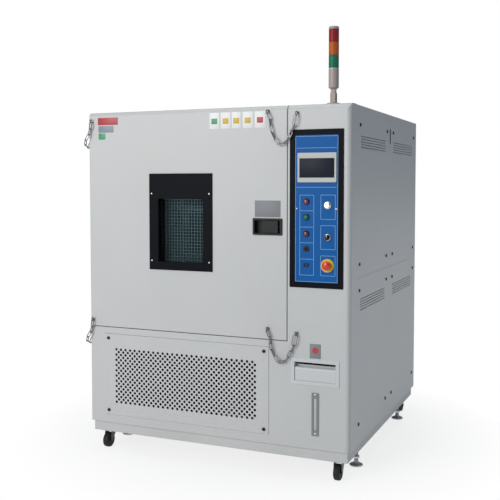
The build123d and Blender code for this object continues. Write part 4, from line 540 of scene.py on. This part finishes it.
def add_strand(bm, start, headings, across, first=LINK):
    """Links hung one in the next along the headings, each turned a quarter from the one before."""
    here, across = Vector(start), Vector(across)
    for number, heading in enumerate(headings):
        heading = Vector(heading).normalized()
        length, width = first if number == 0 else LINK
        there = here + heading * (length - 2 * WIRE - CHAIN_SEAT)
        if number:
            across = heading.cross(across).normalized()
        add_ring(bm, basis((here + there) / 2, across, heading), length, width)
        here = there
    return here + heading * (WIRE + CHAIN_SEAT) / 2


def down(angle, y=0.0):
    """A heading that leans from straight down by the angle in degrees."""
    return (math.sin(math.radians(angle)), y, -math.cos(math.radians(angle)))


CHAIN_Y = FRONT - EYE_STAND
CHAIN_TOPS = (1672.0, 680.0)
DOOR_EYE_X, FRAME_EYE_X, LEFT_EYE_X = 288.0, 429.0, LEFT + 19
FRAME_EYE_DROP, LEFT_EYE_DROP = 12, 15
FROM_DOOR = [*[down(angle) for angle in (27, 4, 14, 26)], down(40, -0.22)]
FROM_FRAME = [down(angle) for angle in (-12, -25, -28, -40, -85)]
ROUND_CORNER = (
    (-0.10, 0, -1.00),
    (-0.28, -0.05, -0.95),
    (-0.49, -0.08, -0.84),
    (-0.42, 0.52, -0.74),
    (-0.04, 0.88, -0.46),
    (0, 0.56, 0.82),
    (0, 0.50, 0.87),
    (0, 0.29, 0.96),
)
WALL_HEADING = (0, -0.35, -0.94)
HOOK_R, HOOK = 1.6, 13.0
HOOK_PROFILE = [(0, 0), (HOOK_R, 0), (HOOK_R, HOOK - 0.5), (0, HOOK)]
WALL_RUN = Vector(WALL_HEADING).normalized() * (LINK[0] - 2 * WIRE - 2 * CHAIN_SEAT - HOOK_R)
HANG = EYE[0] / 2 - WIRE - CHAIN_SEAT / 2  # from an eye's centre down to the first link
door_wire, frame_wire = bmesh.new(), bmesh.new()
for top in CHAIN_TOPS:
    add_eye(door_wire, DOOR_EYE_X, FRONT, top, TO_FRONT)
    end = add_strand(door_wire, (DOOR_EYE_X, CHAIN_Y, top - HANG), FROM_DOOR, TO_BACK)
    add_lathe(door_wire, HOOK_PROFILE, end, TO_BACK, 12)
    low = top - FRAME_EYE_DROP
    add_eye(frame_wire, FRAME_EYE_X, FRONT, low, TO_FRONT)
    add_strand(frame_wire, (FRAME_EYE_X, CHAIN_Y, low - HANG), FROM_FRAME, TO_BACK, CLIP)
    low = top - LEFT_EYE_DROP
    add_eye(door_wire, LEFT_EYE_X, FRONT, low, TO_FRONT)
    end = add_strand(door_wire, (LEFT_EYE_X, CHAIN_Y, low - HANG), ROUND_CORNER, TO_BACK)
    add_lathe(door_wire, HOOK_PROFILE, end, TO_RIGHT, 12)
    y, z = end.y - WALL_RUN.y, end.z - WALL_RUN.z
    add_eye(frame_wire, LEFT, y, z + HANG, TO_LEFT)
    add_strand(frame_wire, (LEFT - EYE_STAND, y, z), [WALL_HEADING], TO_RIGHT)
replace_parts(piece("door_chain_links", door_wire, chrome, "door"), "door_chains")
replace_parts(piece("frame_chain_links", frame_wire, chrome, "cabinet"), "frame_chains")

# Screws

CROSS_LENGTH, CROSS_WIDTH = 1.1, 0.28  # of the head's radius
CROSS_DEPTH, CROSS_LEVEL = 0.4, 1.45


def screws(name, places, radius, body):
    """Screws on the front: a domed head with a small cross on it."""
    head = [(0, -0.5), (radius, -0.5), (radius, 0.4), (radius * 0.7, 1.2), (0, 1.5)]
    shape = Matrix.Diagonal((radius * CROSS_LENGTH, radius * CROSS_WIDTH, CROSS_DEPTH, 1))
    lifted = Matrix.Translation((0, 0, CROSS_LEVEL))
    bm = bmesh.new()
    for place in places:
        add_lathe(bm, head, place, TO_FRONT, 16)
        turn = Matrix.Translation(place) @ aim(TO_FRONT)
        for along in (Matrix.Identity(4), Matrix.Rotation(math.pi / 2, 4, "Z")):
            bar = bmesh.ops.create_cube(bm, size=1.0)["verts"]
            bmesh.ops.transform(bm, matrix=turn @ along @ lifted @ shape, verts=bar)
    return piece(name, bm, silver_knob, body)


screws("window_screws", [(x, PLATE_Y, z) for x in (-320.0, -10.0) for z in (1299.0, 974.0)], 4.0, "door")
screws("panel_screws", [(x, BLUE_Y, 1235.0) for x in (428.0, 613.0)], 3.5, "cabinet")
screws("gauge_screws", [(519.5, PLATE_Y, z) for z in (397.0, 218.0)], 4.0, "cabinet")

# Dark lining of the window's tunnel, between its walls and the panes
TUNNEL = (-289.95, -36.05, 963.55, 1280.45)
LINING = 0.2
x0, x1, z0, z1 = TUNNEL
lining_y = (FRONT + 5.1, FRONT + 71.5)
lining = [
    ((x0, x0 + LINING), lining_y, (z0, z1)),
    ((x1 - LINING, x1), lining_y, (z0, z1)),
    ((x0, x1), lining_y, (z0, z0 + LINING)),
    ((x0, x1), lining_y, (z1 - LINING, z1)),
]
boxes("tunnel_lining", lining, black_bezel, "door")

# Control panel: printed rules, screen, pilot lamps, buzzer, rocker and knobs

RULE, RULE_DEPTH = 2.2, 0.25
PRINT_Y = (BLUE_Y - RULE_DEPTH, BLUE_Y)


def add_level(bm, x, z):
    """A printed line across the x range at height z."""
    add_box(bm, x, PRINT_Y, (z - RULE / 2, z + RULE / 2))


def add_frame(bm, x, z, dividers=()):
    """A printed frame round the x and z ranges, with cross lines at the dividers."""
    for level in (*z, *dividers):
        add_level(bm, x, level)
    for edge in x:
        add_box(bm, (edge - RULE / 2, edge + RULE / 2), PRINT_Y, z)


ink = bmesh.new()
add_frame(ink, (422.5, 619.5), (907.0, 1557.0))
for z in (1505.0, 1330.0):
    add_level(ink, (428, 614), z)
add_frame(ink, (443, 509), (936, 1295), (1225, 1152, 1081.5, 1008))
for levels in ((1188, 1296), (1054, 1160), (936, 1025)):
    add_frame(ink, (542, 609), levels)
piece("panel_rules", ink, pale_ink, "cabinet")

SCREEN_PANE = ((443, 605), (BLUE_Y - 5.6, BLUE_Y - 5.0), (1373, 1459))
boxes("screen_pane", [SCREEN_PANE], screen_glass, "cabinet", 0.2)

FITTING_X = 474.0
PILOTS = ((1266.0, lamp_red, "upper"), (1196.0, lens_green, "middle"), (1122.0, lamp_dark, "lower"))
PILOT_BEZEL = [(9, 0), (14.5, 0), (14.5, 3), (13.6, 4.6), (11.6, 5), (11.2, 4.2), (9, 4)]
PILOT_DOME = [(0, 3.6), (11.2, 3.6), (11.2, 6.5), (10.2, 8.6), (7.6, 10.0), (4, 10.7), (0, 11.0)]
BUZZER_Z = 1054.0
BUZZER_RING = [(3.2, 1), (4, 4.4), (12.6, 4.2), (13.5, 3), (13.5, 0), (3.2, 0), (3.2, 1)]
ROCKER_HALF, ROCKER_OUTER, ROCKER_BAR = 6.5, 12.0, 4.5
ROCKER_Y, ROCKER_Z = (BLUE_Y - 3, BLUE_Y), (973.0, 989.0)
bezels = bmesh.new()
for z, finish, tag in PILOTS:
    centre = (FITTING_X, BLUE_Y, z)
    add_lathe(bezels, PILOT_BEZEL, centre, TO_FRONT)
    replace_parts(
        lathe(f"lamp_{tag}", PILOT_DOME, centre, TO_FRONT, finish, "cabinet"), "panel_fittings"
    )
add_lathe(bezels, BUZZER_RING, (FITTING_X, BLUE_Y, BUZZER_Z), TO_FRONT)
for side in (-1, 1):
    across = (FITTING_X + side * ROCKER_HALF, FITTING_X + side * ROCKER_OUTER)
    add_box(bezels, across, ROCKER_Y, ROCKER_Z, 0.6)
for z in (ROCKER_Z[0], ROCKER_Z[1] - ROCKER_BAR):
    across = (FITTING_X - ROCKER_HALF, FITTING_X + ROCKER_HALF)
    add_box(bezels, across, ROCKER_Y, (z, z + ROCKER_BAR), 0.6)
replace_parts(piece("fitting_bezels", bezels, black_plastic, "cabinet"), "panel_fittings")

# The selector's white pointer line, and the silver collars under both knobs
KNOB_X = 574.0
SELECTOR_FACE = BLUE_Y - 20.7
POINTER = ((KNOB_X - 1, KNOB_X + 1), (SELECTOR_FACE, SELECTOR_FACE + 0.5), (1109, 1119))
boxes("selector_line", [POINTER], plate_white, "selector")
COLLARS = ((1250.0, 16.0), (1108.0, 14.5))
COLLAR_BORE, COLLAR_TOP = 3.05, 4.05
collars = bmesh.new()
for z, radius in COLLARS:
    rim = radius + 0.3
    profile = [(COLLAR_BORE, 0.02), (rim, 0), (rim, 3.2), (radius - 1, COLLAR_TOP), (COLLAR_BORE, COLLAR_TOP)]
    add_lathe(collars, profile, (KNOB_X, BLUE_Y, z), TO_FRONT)
piece("knob_collars", collars, silver_knob, "cabinet")

# Plain plates and colour bars in place of the printed labels

LABEL, LABEL_SINK, LABEL_EDGE = 0.5, 0.05, 0.12


def label(name, x, z, finish, body, slot, y=FRONT, thick=LABEL):
    """A thin plate on the face at y."""
    return boxes(name, [(x, (y - thick, y + LABEL_SINK), z)], finish, body, LABEL_EDGE)


STICKERS = ((-7, 42), (50, 101), (107, 152), (162, 213), (222, 275))
STICKER_MARKS = (label_green, amber, amber, amber, label_red)
STICKER_Z, MARK_Z, MARK_HALF, MARK_THICK = (1602, 1677), (1624, 1650), 15, 0.2
for number, (x, finish) in enumerate(zip(STICKERS, STICKER_MARKS)):
    label(f"sticker_{number}", x, STICKER_Z, plate_white, "door", "painted_white")
    middle = sum(x) / 2
    mark_x = (middle - MARK_HALF, middle + MARK_HALF)
    mark_y = FRONT - LABEL
    label(f"sticker_mark_{number}", mark_x, MARK_Z, finish, "door", "yellow_plastic", mark_y, MARK_THICK)
PLATES = (
    ("top_bar_red", (-626, -510), (1637, 1673), label_red, "door", "red_plastic"),
    ("top_bar_grey", (-622, -535), (1600, 1632), label_blue, "door", "painted_white"),
    ("top_bar_green", (-622, -583), (1566, 1596), label_green, "door", "painted_white"),
    ("name_plate", (223, 350), (1194, 1269.5), plate_grey, "door", "zinc"),
    ("column_plate", (492, 545), (560, 626), plate_grey, "cabinet", "zinc"),
)
for plate in PLATES:
    label(*plate)
DISC = [(0, 0.4), (15, 0.4), (15, 0.8), (0, 0.8)]
lathe("column_disc", DISC, (518.6, FRONT, 596), TO_FRONT, label_red, "cabinet")

# The level gauge's grey glass strip
label("gauge_strip", (513.5, 525.5), (232, 380), bezel_grey, "cabinet", "zinc", FRONT - 1.0, 0.6)

# Tower light: three grooved lenses and the clear collar below them
TOWER = (570.0, -585.0)
LENS_ZS = (TOP + 165.0, TOP + 222.0, TOP + 280.0, TOP + 337.0)
LENSES = ((lens_green, "green"), (lens_orange, "orange"), (lens_red, "red"))
LENS_BORE, LENS_END_R, LENS_R, LENS_GAP, LENS_CHAMFER = 5.3, 21.5, 22.9, 0.3, 1.2
GROOVES, GROOVE_R, GROOVE_HALF = 11, 22.5, 0.7
for low, high, (finish, tag) in zip(LENS_ZS, LENS_ZS[1:], LENSES):
    tall = high - low - LENS_GAP
    profile = [(LENS_BORE, 0), (LENS_END_R, 0), (LENS_R, LENS_CHAMFER)]
    for step in range(1, GROOVES + 1):
        z = LENS_CHAMFER + (tall - 2 * LENS_CHAMFER) * step / (GROOVES + 1)
        profile += [(LENS_R, z - GROOVE_HALF), (GROOVE_R, z), (LENS_R, z + GROOVE_HALF)]
    profile += [(LENS_R, tall - LENS_CHAMFER), (LENS_END_R, tall), (LENS_BORE, tall), (LENS_BORE, 0)]
    lens = lathe(f"lens_{tag}", profile, (*TOWER, low + LENS_GAP), UP, finish, "tower", 64)
    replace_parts(lens, "tower_lenses")
COLLAR_RING = [(17.2, 0), (22.6, 0), (22.6, 8.6), (17.2, 8.6), (17.2, 0)]
lathe("tower_collar", COLLAR_RING, (*TOWER, TOP + 156.2), UP, clear_collar, "tower", 48)

# Levelling feet with threaded stems and nuts
FEET = {
    "front_left": (-633.0, -398.0),
    "front_right": (633.0, -398.0),
    "rear_left": (-633.0, 458.0),
    "rear_right": (633.0, 458.0),
}
FOOT_PAD = [(0, 0), (30.5, 0), (32.3, 1.5), (32.3, 6), (28, 9.5), (17, 13), (12.5, 18), (9.6, 30)]
FOOT_TOP = [(9.6, 117), (0, 118)]
THREAD_FROM, THREAD_TO, THREAD_PITCH = 30.0, 115.0, 2.5
THREAD_CREST, THREAD_ROOT = 9.95, 8.8
NUT_R, NUT_HEIGHT, NUT_Z = 17, 9, 42
thread = []
z = THREAD_FROM
while z < THREAD_TO:
    thread += [(THREAD_CREST, z + THREAD_PITCH * 0.25), (THREAD_ROOT, z + THREAD_PITCH * 0.75)]
    z += THREAD_PITCH
for tag, (x, y) in FEET.items():
    bm = bmesh.new()
    add_lathe(bm, [*FOOT_PAD, *thread, *FOOT_TOP], (x, y, 0), UP, 36)
    nut = bmesh.ops.create_cone(
        bm, cap_ends=True, segments=6, radius1=NUT_R, radius2=NUT_R, depth=NUT_HEIGHT
    )["verts"]
    bmesh.ops.translate(bm, vec=(x, y, NUT_Z), verts=nut)
    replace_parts(piece(f"foot_{tag}", bm, zinc, f"foot_{tag}"), f"levelling_foot_{tag}")

# Caster wheels with a rounded tread and a hub
CASTER_X, CASTER_Y, CASTER_TRAIL = 612.0, 598.0, 24.0
WHEEL_R = 37.5
OUTER_HALF = [(5.05, 15), (11, 15), (12, 13.5), (25, 13.5), (27, 15), (32, 14.6), (35.5, 12.5), (37.2, 8)]
INNER_HALF = [(radius, -height) for radius, height in reversed(OUTER_HALF)]
WHEEL_PROFILE = [*OUTER_HALF, (37.45, 0), *INNER_HALF, OUTER_HALF[0]]
for tag, (side, end) in zip(CORNERS, CORNER_SIDES):
    centre = (side * CASTER_X, end * (CASTER_Y + CASTER_TRAIL), WHEEL_R)
    wheel = lathe(f"wheel_{tag}", WHEEL_PROFILE, centre, TO_RIGHT, rubber, f"wheel_{tag}", 64)
    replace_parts(wheel, f"caster_wheel_{tag}")

# Floor, backdrop and light; from here on in metres

FLOOR_HALF = 60.0
GLOW_NEAR, GLOW_FAR = 0.75, 1.35  # distances from the middle between which the shadow fades out
GLOW_LEAST = 0.8
PURE_WHITE = (1, 1, 1, 1)


def stage_white():
    """A white that the camera, metal and glass see as white, and that still takes the shadow."""
    made = bpy.data.materials.new("floor_white")
    made.use_nodes = True
    tree = made.node_tree
    link = tree.links.new
    tree.nodes.clear()
    out = node(tree, "ShaderNodeOutputMaterial")
    diffuse = node(tree, "ShaderNodeBsdfDiffuse", Color=(0.9, 0.9, 0.9, 1))
    glow = node(tree, "ShaderNodeEmission", Color=PURE_WHITE, Strength=1.0)
    both = node(tree, "ShaderNodeMixShader")
    path = node(tree, "ShaderNodeLightPath")
    seen = node(tree, "ShaderNodeMath")
    seen.operation = "MAXIMUM"
    link(path.outputs["Is Camera Ray"], seen.inputs[0])
    link(path.outputs["Is Glossy Ray"], seen.inputs[1])
    place = node(tree, "ShaderNodeTexCoord")
    far = node(tree, "ShaderNodeVectorMath")
    far.operation = "LENGTH"
    link(place.outputs["Object"], far.inputs[0])
    fade = node(tree, "ShaderNodeMapRange", From_Min=GLOW_NEAR, From_Max=GLOW_FAR, To_Min=GLOW_LEAST)
    link(far.outputs["Value"], fade.inputs["Value"])
    share = node(tree, "ShaderNodeMath")
    share.operation = "MULTIPLY"
    link(seen.outputs[0], share.inputs[0])
    link(fade.outputs["Result"], share.inputs[1])
    link(share.outputs[0], both.inputs[0])
    link(diffuse.outputs[0], both.inputs[1])
    link(glow.outputs[0], both.inputs[2])
    link(both.outputs[0], out.inputs[0])
    return made


bm = bmesh.new()
bmesh.ops.create_grid(bm, x_segments=1, y_segments=1, size=FLOOR_HALF)
floor_data = bpy.data.meshes.new("floor")
bm.to_mesh(floor_data)
bm.free()
floor_data.materials.append(stage_white())
floor = bpy.data.objects.new("floor", floor_data)
bpy.context.scene.collection.objects.link(floor)

# The world lights softly in a cool tone, and the camera sees it white
world = bpy.data.worlds.new("studio")
bpy.context.scene.world = world
world.use_nodes = True
tree = world.node_tree
tree.nodes.clear()
out = node(tree, "ShaderNodeOutputWorld")
soft = node(tree, "ShaderNodeBackground", Color=(0.72, 0.86, 1.0, 1), Strength=0.27)
white = node(tree, "ShaderNodeBackground", Color=PURE_WHITE, Strength=1.0)
both = node(tree, "ShaderNodeMixShader")
path = node(tree, "ShaderNodeLightPath")
tree.links.new(path.outputs["Is Camera Ray"], both.inputs[0])
tree.links.new(soft.outputs[0], both.inputs[1])
tree.links.new(white.outputs[0], both.inputs[2])
tree.links.new(both.outputs[0], out.inputs[0])

# Name, place, target, watts, size and colour of each area light
LIGHTS = (
    ("key", (-2.6, -6.6, 3.2), (0, 0, 0.9), 285, 4.0, (1.0, 0.985, 0.96)),
    ("overhead", (0.2, -0.4, 4.6), (0, 0, 1.0), 52, 3.0, (1, 1, 1)),
    ("side", (4.2, -0.6, 2.0), (0.6, 0, 0.9), 4, 2.5, (0.80, 0.88, 1.0)),
    ("chamber", (-0.15, -0.05, 1.55), (-0.15, 0.2, 1.30), 1.6, 0.15, (0.80, 0.92, 1.0)),
)
for name, place, target, power, size, colour in LIGHTS:
    light = bpy.data.lights.new(name, "AREA")
    light.energy = power
    light.size = size
    light.color = colour
    stand = bpy.data.objects.new(name, light)
    stand.location = place
    stand.rotation_euler = (Vector(target) - Vector(place)).to_track_quat("-Z", "Y").to_euler()
    bpy.context.scene.collection.objects.link(stand)

# Camera at the photograph's angle
PLACE = (1.684, -4.135, 1.339)
YAW, PITCH = 23.23, 2.91
LENS, SHIFT = 58.8, -0.0464
camera_data = bpy.data.cameras.new("camera")
camera_data.lens = LENS
camera_data.sensor_width = 36.0
camera_data.shift_y = SHIFT
camera = bpy.data.objects.new("camera", camera_data)
camera.location = PLACE
camera.rotation_euler = (math.radians(90 - PITCH), 0, math.radians(YAW))
bpy.context.scene.collection.objects.link(camera)
bpy.context.scene.camera = camera
bpy.context.scene.view_settings.view_transform = "Standard"
